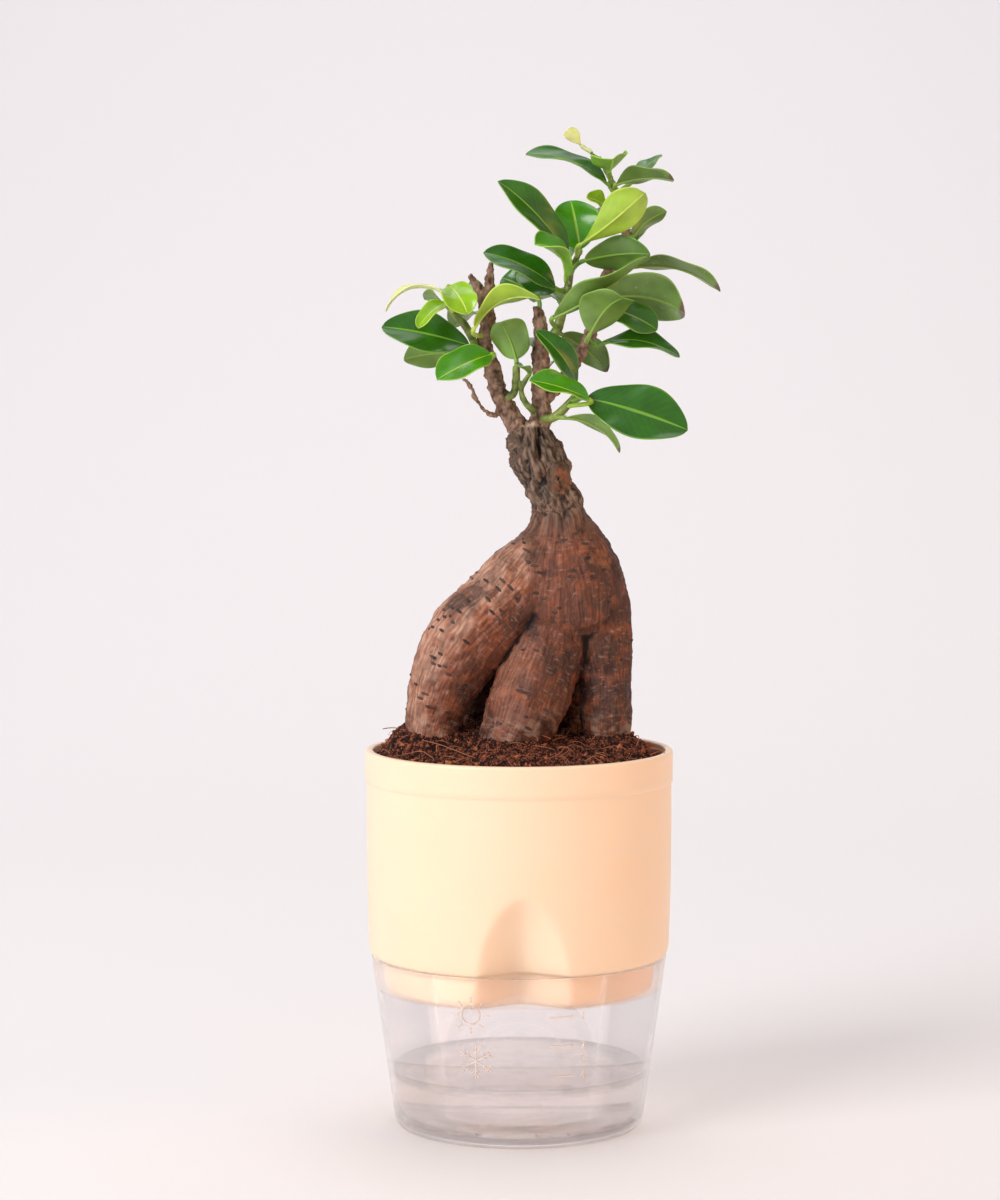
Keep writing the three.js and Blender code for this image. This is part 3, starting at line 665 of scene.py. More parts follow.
def makePeat(rootTree):
    ledge, foot = pot["seat"] + pot["gap"], pot["foot"] + pot["floor"] + pot["gap"]
    inner, nestInner = pot["rimRadius"] - pot["wall"] - 0.25, pot["nest"] - pot["wall"]
    points = outlinePoints((0.01, foot), [
        (nestInner - 3.6, foot),
        ((nestInner - 1.9, foot), (nestInner - 1.5, foot + 2)),
        (nestInner - 0.3, ledge + 2.5),
        ((inner - 1.5, ledge + 2.9), (inner - 1, ledge + 6.4)),
        (inner - 1, scoop["top"]),
        (inner, pot["knee"]),
        (inner, peat["edge"] - 1.5),
        (inner - 6, peat["edge"] + peat["crown"] - 1),
        (0.01, peat["edge"] + peat["crown"] - 1),
    ], 1.2, 4)

    def raised(spot):
        spot = scooped(spot, 1.2)
        if spot.z > peat["edge"] - 1.6:
            spot.z += peatHeight(spot.x, spot.y, inner)
            spot.z += 1.3 * math.exp(-rootTree.find(spot)[2] / 1.8)  # banked up against the roots
            spot.z += 0.9 * noise.fractal(spot / 4.5, 0.9, 2.1, 4)
        return spot

    bed = turnedPiece("peatBed", points, 180, raised)
    tones = {tone: peatMaterial(*row) for tone, row in peatTones.items()}
    finishPiece(bed, "coco_peat", "soil", material=tones["moist"])

    def openTop(name, clearance):
        # the top face alone, clear of the rim and the roots
        def isOpen(face):
            spot = face.calc_center_median() / mm
            isInside = math.hypot(spot.x, spot.y) <= inner - 1
            return face.normal.z >= 0.4 and isInside and rootTree.find(spot)[2] >= clearance

        return partOf(bed, name, isOpen)

    crumbs = scatterTree()
    for name, (clearance, density, smallest, largest, detail, seed, tone) in peatCrumbs.items():
        sort = grown(openTop(name, clearance), crumbs, name, Density=density, Smallest=smallest * mm,
                     Largest=largest * mm, Detail=detail, Seed=seed, Material=tones[tone])
        finishPiece(sort, "coco_peat")
    coir = newMaterial("dryCoirFibre", Roughness=0.75)[0]
    coir.node_tree.nodes["Principled BSDF"].inputs["Base Color"].default_value = srgb("#A8694A")
    fibres = grown(openTop("fibreGround", fibre["clearance"]), fibreTree(), "coirFibres",
                   Density=fibre["density"], Length=fibre["length"] * mm, Bend=fibre["bend"] * mm,
                   Thickness=fibre["thickness"] * mm, Seed=fibre["seed"], Material=coir)
    finishPiece(fibres, "coco_peat")
    lines = limbCurves("longFibres", longFibres, 6)
    finishPiece(grown(lines, limbTree(), "longFibres", Sides=5, Material=coir), "coco_peat")

    # grains washed down into the reservoir's bottom corner, mostly at the left and right of the front
    def isWashed(face):
        spot = face.calc_center_median()
        angle = math.degrees(math.atan2(spot.x, -spot.y))
        return -75 < angle < -20 or 22 < angle < 62 or noise.noise(spot / (5 * mm)) > 0.22

    corner = outlinePoints((reservoir["foot"] - 3.2, reservoir["floor"] + 0.3),
                           [(reservoir["foot"] - 1.7, reservoir["floor"] + 1.1)], 2)
    ring = turnedPiece("washedRing", corner, 96)
    grains = grown(partOf(ring, "washedGround", isWashed), crumbs, "washedGrains",
                   Density=washed["density"], Smallest=washed["smallest"] * mm,
                   Largest=washed["largest"] * mm, Detail=1, Seed=washed["seed"], Material=tones["moist"])
    bpy.data.objects.remove(ring)
    finishPiece(grains, "coco_peat")


# Wood: the same rows of [x, y, z, radius] as the solids have

rootLimbs = [
    [[3, 0, 228.4, 5.6], [4, 0, 224, 7.4], [5.4, 0, 218, 8.7], [8.4, 0, 211, 8.3], [11.6, 0, 203.5, 7.8],
     [13.5, 0, 196.5, 9.5], [14.4, 1, 190, 14.8], [14.4, 1, 182, 17.4], [14, 1, 172, 18.2],
     [14, 0.5, 163, 16], [14, 0.5, 157, 11], [14, 0.5, 153, 5]],
    [[12, -1, 191, 9], [17, -3, 182, 13], [19, -4, 172, 13.4], [19.5, -3.6, 164, 10.6], [19.6, -3, 159, 5]],
    [[10, 0, 184, 10], [6.5, -2.5, 177, 11], [6, -4, 172, 8]],
    [[13, 1, 188, 10], [5, 0, 182, 12.6], [-4, -3.5, 171.6, 13.8], [-15, -6.5, 161, 14.2],
     [-22.4, -8.5, 149, 12.2], [-26.8, -9.5, 137, 9.6], [-29.2, -10, 124, 8], [-29.5, -10, 112, 5],
     [-29.5, -10, 108, 2]],
    [[15, 1, 182, 11], [13, -1.5, 170, 12.4], [9.4, -6, 157, 12], [4.8, -10.5, 145, 12.6],
     [0.8, -14, 135, 12.2], [-3.4, -16.5, 125, 9.6], [-5.4, -17, 114, 6], [-5.6, -17, 108, 3]],
    [[18, 2, 190, 8], [22.5, 1.5, 182, 10.6], [25, 0, 171, 11], [26.8, -2, 158, 9.8], [27.7, -3.6, 146, 8.7],
     [28.2, -5, 133, 8.3], [28, -5, 121, 6.8], [27.6, -5, 110, 3]],
    [[15, 3, 184, 11], [14, 8, 172, 14], [12, 14.5, 158, 12.8], [9, 19.5, 144, 10.6], [7, 23, 131, 8],
     [6.5, 24, 118, 6], [6.5, 24, 110, 3]],
    [[20, 4, 178, 9], [21.5, 11, 165, 9], [20.5, 16, 150, 8.4], [19, 19, 136, 7.4], [18.5, 20, 120, 5.6],
     [18.5, 20, 110, 3]],
    [[2, 6, 168, 9], [-5, 9, 156, 8], [-12, 12.5, 144, 6], [-16.5, 15, 131, 4.6], [-18, 16, 118, 3.4]],
    [[4, -1, 221, 6.6], [-1.6, -1.5, 219.6, 4], [-3.4, -1.6, 219, 1.6]],
    [[8, 0, 209, 6], [12.2, -5.6, 211, 3.4], [13.4, -7.4, 211.4, 1.4]],
]
# how light each limb's bark is, in the same order
rootTints = (0.55, 0.45, 0.5, 0.95, 0.55, 0.05, 0.3, 0.2, 0.4, 0.4, 0.6)
stems = {
    "left_scion": [
        [[0, 0, 226, 3.2], [-1.5, 0, 229, 3.5], [-3.5, 0.5, 232.5, 3.1], [-6, 1, 237, 2.9], [-9, 1, 247, 2.6],
         [-11.5, 1, 254.5, 2.3], [-10.5, 1.5, 259.5, 2.2], [-10.5, 1.5, 266, 2.7], [-11, 1.5, 271, 2.4]],
        [[-10, 1.5, 268, 2], [-9.5, 1, 274, 1.7], [-9, 0.5, 280.5, 0.8]],
        [[-11, 1.5, 266, 1.9], [-13, 2, 271.5, 1.6], [-16, 2, 276, 0.8]],
        [[-8.5, 1, 244.5, 1.8], [-11, 0.5, 244.5, 1.2]],
        [[-6, 0.5, 235.5, 1], [-7.5, -2, 231, 0.75], [-12.5, -3.5, 234, 0.65], [-16, -4, 241, 0.6],
         [-18, -4, 243, 0.5]],
    ],
    "centre_scion": [
        [[6, 0, 226, 3], [6.5, 0, 229, 3.5], [7, 0, 234, 3.2], [7, 0, 245, 2.8], [7, 0, 254.5, 2.5],
         [6.5, 0.5, 261.5, 2.1], [5.5, 0.5, 266, 1.1]],
    ],
    "right_branch": [
        [[7, 0, 235.5, 2.1], [11, 0, 239, 2.2], [14, 0, 242.5, 2], [19, 0.5, 250, 1.9], [22.5, 1, 256.5, 1.8],
         [25, 1.5, 264.5, 1.7], [26, 2, 270, 1.6], [29, 2, 278, 1.5], [33.5, 1, 286, 1.4],
         [34, 1, 292.5, 1.3], [32.5, 1, 299.5, 1.2], [30, 1, 304.5, 1.2], [28.5, 0.5, 308.5, 1],
         [25.5, 0, 313, 0.8],
         [23, -0.5, 315.5, 0.6]],
    ],
    "upper_shoot": [
        [[7, 0, 252, 1.5], [10, -1.5, 255.5, 1.6], [12.5, -2, 259.5, 1.6], [14, -1, 265, 1.5],
         [15.5, 0, 271, 1.4], [16.5, 0.5, 277, 1.2], [19, 1, 283, 0.9]],
    ],
    "left_shoot": [
        [[-11, 1, 250.5, 1.6], [-13.5, 0, 252, 1.5], [-15, -1.5, 255.5, 1.3], [-17.5, -2.5, 260, 1.3],
         [-21.5, -3, 264.5, 1.2], [-23.5, -3.5, 269, 1], [-24.5, -4, 271.5, 0.7]],
    ],
    "stub_shoot": [
        [[-6, 0.5, 236, 1.3], [-2, -1.5, 238, 1.3], [-1, -3.5, 242.5, 1.3], [-1, -4.5, 247, 1.2]],
    ],
    "fork_twig": [
        [[6.5, -0.5, 231.5, 1.1], [3.5, -4, 233.5, 1.1], [1, -4.5, 237, 1], [0.5, -5, 240.5, 0.8],
         [0, -5, 242.5, 0.4]],
        [[0.5, -5, 239.5, 0.8], [2, -5, 242.5, 0.8], [3.5, -5, 244.5, 0.6]],
    ],
    "low_shoot": [
        [[6.5, -1.5, 230, 1.3], [11, -5, 230.5, 1.5], [15, -7, 234, 1.4], [17.5, -8, 237.5, 0.9]],
    ],
}
woodyStems = ("left_scion", "centre_scion", "right_branch")
# for each sort of stem: its bark, its slot, how fine its skin is and how rough, in mm
stemSorts = {
    "woody": (("greyFigBark", "#523A2E", "#A9866F", 0.8, 0.9, 294), "twig_bark", 0.32, 0.75),
    "green": (("youngGreenStem", "#4E6322", "#8C9A4A", 0.45, 0.2), "green_stem", 0.26, 0.15),
}
# where the roots flow together, and the pores on them, in mm
shoulder = {"low": 164, "lowBlend": 12, "high": 206, "highBlend": 8, "passes": 170}
pores = {"low": 132, "high": 204, "density": 0.13e6, "apart": 1.8, "length": 2.8, "seed": 5}


def smoothRow(rows, at):
    # the centre line and radius at a place counted along the rows
    i = min(len(rows) - 2, int(at))
    t = at - i
    p1, p2 = np.array(rows[i], float), np.array(rows[i + 1], float)
    p0 = np.array(rows[i - 1], float) if i > 0 else 2 * p1 - p2
    p3 = np.array(rows[i + 2], float) if i + 2 < len(rows) else 2 * p2 - p1
    m1, m2 = (p2 - p0) / 2, (p3 - p1) / 2
    spot = (2 * t ** 3 - 3 * t ** 2 + 1) * p1 + (t ** 3 - 2 * t ** 2 + t) * m1
    spot += (-2 * t ** 3 + 3 * t ** 2) * p2 + (t ** 3 - t ** 2) * m2
    spot[3] = (1 - t) * p1[3] + t * p2[3]
    return spot


def limbTree():
    # round limbs along curves that carry their own radius
    tree, given = newTree("roundLimbs", [("Sides", "Int"), ("Material", "Material")])
    section = addNode(tree, "GeometryNodeCurvePrimitiveCircle", {"Resolution": given["Sides"], "Radius": 1.0})
    thickness = addNode(tree, "GeometryNodeInputRadius")
    tube = addNode(tree, "GeometryNodeCurveToMesh",
                   {"Curve": given["Geometry"], "Profile Curve": section,
                    "Scale": thickness, "Fill Caps": True})
    endTree(tree, tube, given["Material"])
    return tree


def limbCurves(name, limbs, steps):
    curve = bpy.data.curves.new(name, "CURVE")
    curve.dimensions = "3D"
    for rows in limbs:
        count = (len(rows) - 1) * steps + 1
        line = curve.splines.new("POLY")
        line.points.add(count - 1)
        for k in range(count):
            x, y, z, radius = smoothRow(rows, k / steps) * mm
            line.points[k].co = (x, y, z, 1)
            line.points[k].radius = radius
    return newObject(name, curve)


def makeLimbs(name, limbs, tree, material, sides, voxel, passes):
    # tubes grown together into one skin, smoothed where they meet
    tubes = grown(limbCurves(name, limbs, 6), tree, name, Sides=sides, Material=material)
    skin = tubes.modifiers.new("skin", "REMESH")
    skin.mode = "VOXEL"
    skin.voxel_size = voxel * mm
    soft = tubes.modifiers.new("soft", "SMOOTH")
    soft.factor = 0.5
    soft.iterations = passes
    whole = madePlain(tubes, name)
    whole.data.materials.clear()
    whole.data.materials.append(material)
    return whole


def roughened(piece, depthAt, size):
    # pushes the surface in and out along its normals; depthAt gives how far, in mm, at a place
    mesh = piece.data
    normals = [v.normal.copy() for v in mesh.vertices]
    for v, normal in zip(mesh.vertices, normals):
        spot = v.co / mm
        depth, sunk = depthAt(spot)
        stretched = Vector((spot.x, spot.y, spot.z * 0.55)) / size
        wave = noise.fractal(stretched, 0.8, 2.1, 4)
        v.co += normal * (depth * wave + sunk) * mm
    mesh.update()


def barkCoordinates(piece, limbs, tints=None):
    # for each point: how far round its nearest limb, how far along it, and its distance from the middle
    lines = []
    for index, rows in enumerate(limbs):
        count = (len(rows) - 1) * 8
        spots = [smoothRow(rows, k / 8) for k in range(count + 1)]
        girth = np.mean([spot[3] for spot in spots])
        steps = [np.linalg.norm(b[:3] - a[:3]) for a, b in zip(spots, spots[1:])]
        lengths = np.concatenate([[0], np.cumsum(steps)])
        for k in range(count):
            lines.append((spots[k], spots[k + 1], lengths[k], index, girth))
    start = np.array([l[0][:3] for l in lines])
    way = np.array([l[1][:3] - l[0][:3] for l in lines])
    radius = np.array([l[0][3] for l in lines])
    reach = np.array([l[2] for l in lines])
    count = len(piece.data.vertices)
    spots = np.zeros(count * 3)
    piece.data.vertices.foreach_get("co", spots)
    spots = spots.reshape(-1, 3) / mm
    best = np.full(count, 1e9)
    around, along = np.zeros(count), np.zeros(count)
    direction = np.zeros((count, 3))
    tint = np.zeros(count)
    for k in range(len(lines)):
        unit = way[k] / np.linalg.norm(way[k])
        away = spots - start[k]
        t = np.clip(away @ unit, 0, np.linalg.norm(way[k]))
        off = away - np.outer(t, unit)
        distance = np.linalg.norm(off, axis=1) - radius[k]
        nearer = distance < best
        best[nearer] = distance[nearer]
        sideways = np.cross(unit, (0, 1, 0))
        sideways /= np.linalg.norm(sideways)
        other = np.cross(unit, sideways)
        angle = np.arctan2(off @ sideways, off @ other)
        around[nearer] = angle[nearer] * lines[k][4]
        along[nearer] = (reach[k] + t)[nearer] + 60 * lines[k][3]
        direction[nearer] = unit
        if tints:
            tint[nearer] = tints[lines[k][3]]
    mesh = piece.data
    attribute = mesh.attributes.new("barkCoords", "FLOAT_VECTOR", "POINT")
    places = neighbourMean(mesh, np.stack([around, along, best], 1), 3)
    attribute.data.foreach_set("vector", (places * mm).astype(np.float32).ravel())
    grain = mesh.attributes.new("grain", "FLOAT_VECTOR", "POINT")
    grain.data.foreach_set("vector", direction.astype(np.float32).ravel())
    if tints:
        # how hollow the skin is, from how far it moves out when it is smoothed, and the tone of its limb
        normals = np.zeros(count * 3)
        mesh.vertices.foreach_get("normal", normals)
        moved = neighbourMean(mesh, spots, 30) - spots
        addFloats(mesh, "hollow", (moved * normals.reshape(-1, 3)).sum(1))
        addFloats(mesh, "tint", neighbourMean(mesh, tint[:, None], 14)[:, 0])


def addFloats(mesh, name, values):
    mesh.attributes.new(name, "FLOAT", "POINT").data.foreach_set("value", values.astype(np.float32))


def neighbourMean(mesh, values, passes):
    ends = np.zeros(len(mesh.edges) * 2, int)
    mesh.edges.foreach_get("vertices", ends)
    a, b = ends[0::2], ends[1::2]
    count = len(values)
    share = np.bincount(ends, minlength=count) + 1.0
    for _ in range(passes):
        columns = [np.bincount(a, v[b], count) + np.bincount(b, v[a], count) + v for v in values.T]
        values = np.stack(columns, 1) / share[:, None]
    return values


def rootBark():
    # thin fig bark: smooth and brown with fine lengthwise lines, dusty at the ground, rough grey on the neck,
    # with painted light on the side that faces the key light and painted shade in its creases
    material, tree, shader = newMaterial("figRootBark", Roughness=0.58)
    shader.inputs["Specular IOR Level"].default_value = 0.35
    coordinates = addNode(tree, "ShaderNodeTexCoord").outputs["Object"]
    bark = addNode(tree, "ShaderNodeAttribute", attribute_name="barkCoords").outputs["Vector"]
    tint = addNode(tree, "ShaderNodeAttribute", attribute_name="tint").outputs["Fac"]
    hollow = addNode(tree, "ShaderNodeAttribute", attribute_name="hollow").outputs["Fac"]
    height = addNode(tree, "ShaderNodeSeparateXYZ", {"Vector": coordinates}).outputs["Z"]

    def spots(vector, size, detail, low, high, most=1.0):
        # a soft-edged mask of noise; size in mm is one number, or how wide round the limb and along it
        if isinstance(size, tuple):
            scale = (1 / (size[0] * mm), 1 / (size[1] * mm), 1.0)
            vector = addNode(tree, "ShaderNodeMapping", {"Vector": vector, "Scale": scale})
        scale = 1.0 if isinstance(size, tuple) else 1 / (size * mm)
        cloud = addNode(tree, "ShaderNodeTexNoise", {"Vector": vector, "Scale": scale, "Detail": detail})
        return addNode(tree, "ShaderNodeMapRange",
                       {"Value": cloud.outputs["Fac"], "From Min": low, "From Max": high, "To Max": most})

    def rising(value, low, high, most=1.0):
        # none at the low limit and full at the high one; most is a number or another mask
        share = addNode(tree, "ShaderNodeMapRange", {"Value": value, "From Min": low, "From Max": high})
        return addNode(tree, "ShaderNodeMath", {0: share, 1: most}, operation="MULTIPLY")

    def layered(colour, layers):
        # each layer is a mask and the colour that it lays over those before it
        for mask, over in layers:
            colour = addNode(tree, "ShaderNodeMix", {0: mask, 6: colour, 7: over},
                             data_type="RGBA").outputs[2]
        return colour

    # the right root is dark and the middle one reddish; painted light: what faces up and to the front left,
    # towards the key light, is painted paler as if lit
    facing = addNode(tree, "ShaderNodeVectorMath",
                     {0: addNode(tree, "ShaderNodeNewGeometry").outputs["Normal"], 1: (-0.45, -0.45, 0.77)},
                     operation="DOT_PRODUCT").outputs["Value"]
    paintedLitSide = addNode(tree, "ShaderNodeMapRange",
                       {"Value": facing, "From Min": 0.25, "From Max": 0.95, "To Min": 0.35, "To Max": 1.1})
    shade = addNode(tree, "ShaderNodeMath", {0: tint, 1: paintedLitSide}, operation="MULTIPLY")
    tone = addNode(tree, "ShaderNodeValToRGB", {"Fac": shade})
    tone.color_ramp.elements[0].color = srgb("#4E2E22")
    tone.color_ramp.elements[1].color = srgb("#BC8E77")
    tone.color_ramp.elements.new(0.5).color = srgb("#7C4834")
    mottled = layered(tone.outputs[0], [
        (spots(coordinates, 13, 7.0, 0.46, 0.62, 0.8), srgb("#40251E")),
        (spots(coordinates, 5, 7.0, 0.5, 0.68, 0.6), srgb("#96502F")),
        (spots(bark, (2.4, 1.0), 6.0, 0.56, 0.72, 0.4), srgb("#B98F7A")),
    ])
    streaks = spots(bark, (0.7, 5), 6.0, 0.32, 0.68)
    grain = addNode(tree, "ShaderNodeMapRange", {"Value": streaks, "To Min": 0.5, "To Max": 1.35})
    grained = addNode(tree, "ShaderNodeVectorMath", {0: mottled, "Scale": grain}, operation="SCALE")
    neck = layered(srgb("#3F3026"), [
        (spots(bark, (1.8, 5), 6.0, 0.42, 0.6), srgb("#8B705D")),
        # painted shade: the neck's hollows are darkened
        (rising(hollow, 0.05, 0.4), srgb("#1E1510")),
    ])
    layers = [
        # pale dusty bands where the roots go into the ground, painted shade darkening the hollows and
        # creases, and worn ridges
        (rising(height, 140 * mm, 126 * mm, spots(bark, (6, 2.4), 5.0, 0.48, 0.62, 0.6)), srgb("#BCA08C")),
        (rising(hollow, 0.08, 0.55), srgb("#1C0F0B")),
        (rising(hollow, -0.35, -0.9, 0.35), srgb("#B58A75")),
        # the neck is rough, flaky and grey-brown, with painted shade in its hollows
        (rising(height, 190 * mm, 204 * mm), neck),
    ]
    for place, reach in (((14, -7, 210.5), 5.5), ((25.5, -8, 186), 6.5)):
        # healed wounds are orange-brown
        away = addNode(tree, "ShaderNodeVectorMath", {0: coordinates, 1: Vector(place) * mm},
                       operation="DISTANCE").outputs["Value"]
        patch = spots(coordinates, 2.2, 5.0, 0.4, 0.6, 0.8)
        layers.append((rising(away, reach * mm, (reach - 2.5) * mm, patch), srgb("#9A5E3C")))
    layers.append((rising(height, 227.2 * mm, 228.2 * mm), srgb("#CDB09A")))  # the neck's cut top is pale
    tree.links.new(layered(grained, layers), shader.inputs["Base Color"])
    grainBump = addNode(tree, "ShaderNodeBump", {"Height": streaks, "Strength": 0.55, "Distance": 0.3 * mm})
    scurf = spots(bark, (4, 1.6), 5.0, 0.4, 0.7)
    scurfBump = addNode(tree, "ShaderNodeBump",
                        {"Height": scurf, "Strength": 0.4, "Distance": 0.35 * mm, "Normal": grainBump})
    noiseBump(tree, shader, coordinates, 0.7, 0.4, 0.3, 4.0, below=scurfBump)
    return material


def stemBark(name, darkHex, lightHex, roughness, relief, greenFrom=None):
    # bark of a stem or a stalk: blotched in two tones, with a fine grain
    material, tree, shader = newMaterial(name, Roughness=roughness)
    coordinates = addNode(tree, "ShaderNodeTexCoord").outputs["Object"]
    patches = addNode(tree, "ShaderNodeTexNoise",
                      {"Vector": coordinates, "Scale": 1 / (2.4 * mm), "Detail": 6.0})
    spread = addNode(tree, "ShaderNodeMapRange",
                     {"Value": patches.outputs["Fac"], "From Min": 0.35, "From Max": 0.65})
    tone = addNode(tree, "ShaderNodeMix", {0: spread, 6: srgb(darkHex), 7: srgb(lightHex)}, data_type="RGBA")
    finished = tone.outputs[2]
    if greenFrom:  # the newest wood, at the top, is still green
        height = addNode(tree, "ShaderNodeSeparateXYZ", {"Vector": coordinates}).outputs["Z"]
        new = addNode(tree, "ShaderNodeMapRange",
                      {"Value": height, "From Min": greenFrom * mm, "From Max": (greenFrom + 7) * mm})
        finished = addNode(tree, "ShaderNodeMix", {0: new, 6: finished, 7: srgb("#8C9C4A")},
                           data_type="RGBA").outputs[2]
    tree.links.new(finished, shader.inputs["Base Color"])
    noiseBump(tree, shader, coordinates, 0.8, relief, 0.3, 4.0)
    return material


def poreTree():
    # lens-shaped pores set crosswise on the bark
    tree, given = newTree("barkPores", [("Density", "Float"), ("Apart", "Float"), ("Length", "Float"),
                                        ("Seed", "Int"), ("Material", "Material")])
    # they gather in rows round the limb
    place = addNode(tree, "GeometryNodeInputNamedAttribute", {"Name": "barkCoords"}, data_type="FLOAT_VECTOR")
    stretched = addNode(tree, "ShaderNodeVectorMath",
                        {0: place.outputs["Attribute"], 1: (1 / (14 * mm), 1 / (5.5 * mm), 1.0)},
                        operation="MULTIPLY")
    bands = addNode(tree, "ShaderNodeTexNoise", {"Vector": stretched, "Scale": 1.0, "Detail": 1.0})
    rows = addNode(tree, "ShaderNodeMapRange",
                   {"Value": bands.outputs["Fac"], "From Min": 0.53, "From Max": 0.6})
    points = addNode(tree, "GeometryNodeDistributePointsOnFaces",
                     {"Mesh": given["Geometry"], "Distance Min": given["Apart"],
                      "Density Max": given["Density"], "Density Factor": rows, "Seed": given["Seed"]},
                     distribute_method="POISSON")
    grain = addNode(tree, "GeometryNodeInputNamedAttribute", {"Name": "grain"}, data_type="FLOAT_VECTOR")
    across = addNode(tree, "ShaderNodeVectorMath",
                     {0: grain.outputs["Attribute"], 1: points.outputs["Normal"]}, operation="CROSS_PRODUCT")
    kept = addNode(tree, "GeometryNodeStoreNamedAttribute",
                   {"Geometry": points.outputs["Points"], "Name": "across", "Value": across},
                   data_type="FLOAT_VECTOR", domain="POINT")
    upright = addNode(tree, "FunctionNodeAxesToRotation",
                      {"Primary Axis": points.outputs["Normal"], "Secondary Axis": across},
                      primary_axis="Z", secondary_axis="X")
    lens = addNode(tree, "GeometryNodeMeshIcoSphere", {"Radius": 0.5, "Subdivisions": 2})
    size = addNode(tree, "FunctionNodeRandomValue", {2: 0.5, 3: 1.25, "Seed": given["Seed"]},
                   data_type="FLOAT")
    long = addNode(tree, "ShaderNodeMath", {0: size.outputs[1], 1: given["Length"]}, operation="MULTIPLY")
    wide = addNode(tree, "ShaderNodeMath", {0: given["Length"], 1: 0.36}, operation="MULTIPLY")
    thin = addNode(tree, "ShaderNodeMath", {0: given["Length"], 1: 0.2}, operation="MULTIPLY")
    scale = addNode(tree, "ShaderNodeCombineXYZ", {"X": long, "Y": wide, "Z": thin})
    spread = addNode(tree, "GeometryNodeInstanceOnPoints",
                     {"Points": kept, "Instance": lens, "Rotation": upright,
                      "Scale": scale})
    endTree(tree, spread, given["Material"])
    return tree


def makeWood():
    limbs = limbTree()
    bark = rootBark()
    root = makeLimbs("rootstockWood", rootLimbs, limbs, bark, 40, 0.55, 14)

    # the limbs flow into one another at the shoulder, more than further down
    count = len(root.data.vertices)
    spots = np.zeros(count * 3)
    root.data.vertices.foreach_get("co", spots)
    spots = spots.reshape(-1, 3)
    z = spots[:, 2] / mm
    rising = np.clip((z - shoulder["low"]) / shoulder["lowBlend"], 0, 1)
    share = rising * np.clip((shoulder["high"] - z) / shoulder["highBlend"], 0, 1)
    share = (share * share * (3 - 2 * share))[:, None]
    spots += share * (neighbourMean(root.data, spots, shoulder["passes"]) - spots)
    root.data.vertices.foreach_set("co", spots.ravel())
    root.data.update()

    def rootDepth(spot):
        neck = between(192, 212, spot.z)
        # a groove runs down the front of the neck between the two scions
        groove = math.exp(-((spot.x - 6.6) / 0.9) ** 2) * between(215, 219, spot.z) if spot.y < 0 else 0
        return 0.7 + 1.4 * neck, -1.6 * groove

    roughened(root, rootDepth, 4.2)
    barkCoordinates(root, rootLimbs, rootTints)
    # pores sit on the smooth roots, not on the neck or below the peat
    ground = partOf(root, "poreGround",
                    lambda face: pores["low"] < face.calc_center_median().z / mm < pores["high"])
    dots = grown(ground, poreTree(), "barkPores", Density=pores["density"], Apart=pores["apart"] * mm,
                 Length=pores["length"] * mm, Seed=pores["seed"],
                 Material=stemBark("barkPore", "#2B1D19", "#5C453C", 0.8, 0.6))
    finishPiece(root, "root_bark", "rootstock", material=bark)
    finishPiece(dots, "root_bark")

    barks = {sort: stemBark(*look) for sort, (look, *_) in stemSorts.items()}
    for name, rows in stems.items():
        sort = "woody" if name in woodyStems else "green"
        _, slot, voxel, depth = stemSorts[sort]
        stem = makeLimbs(name + "Wood", rows, limbs, barks[sort], 20, voxel, 5)
        roughened(stem, lambda spot: (depth, 0), 1.8)
        finishPiece(stem, slot, name)
    return root


# Leaves: how far up its stem's line each stalk starts, the stalk, the blade, the way the upper side faces,
# width, arch, fold, twist, tone, and the limb it is on

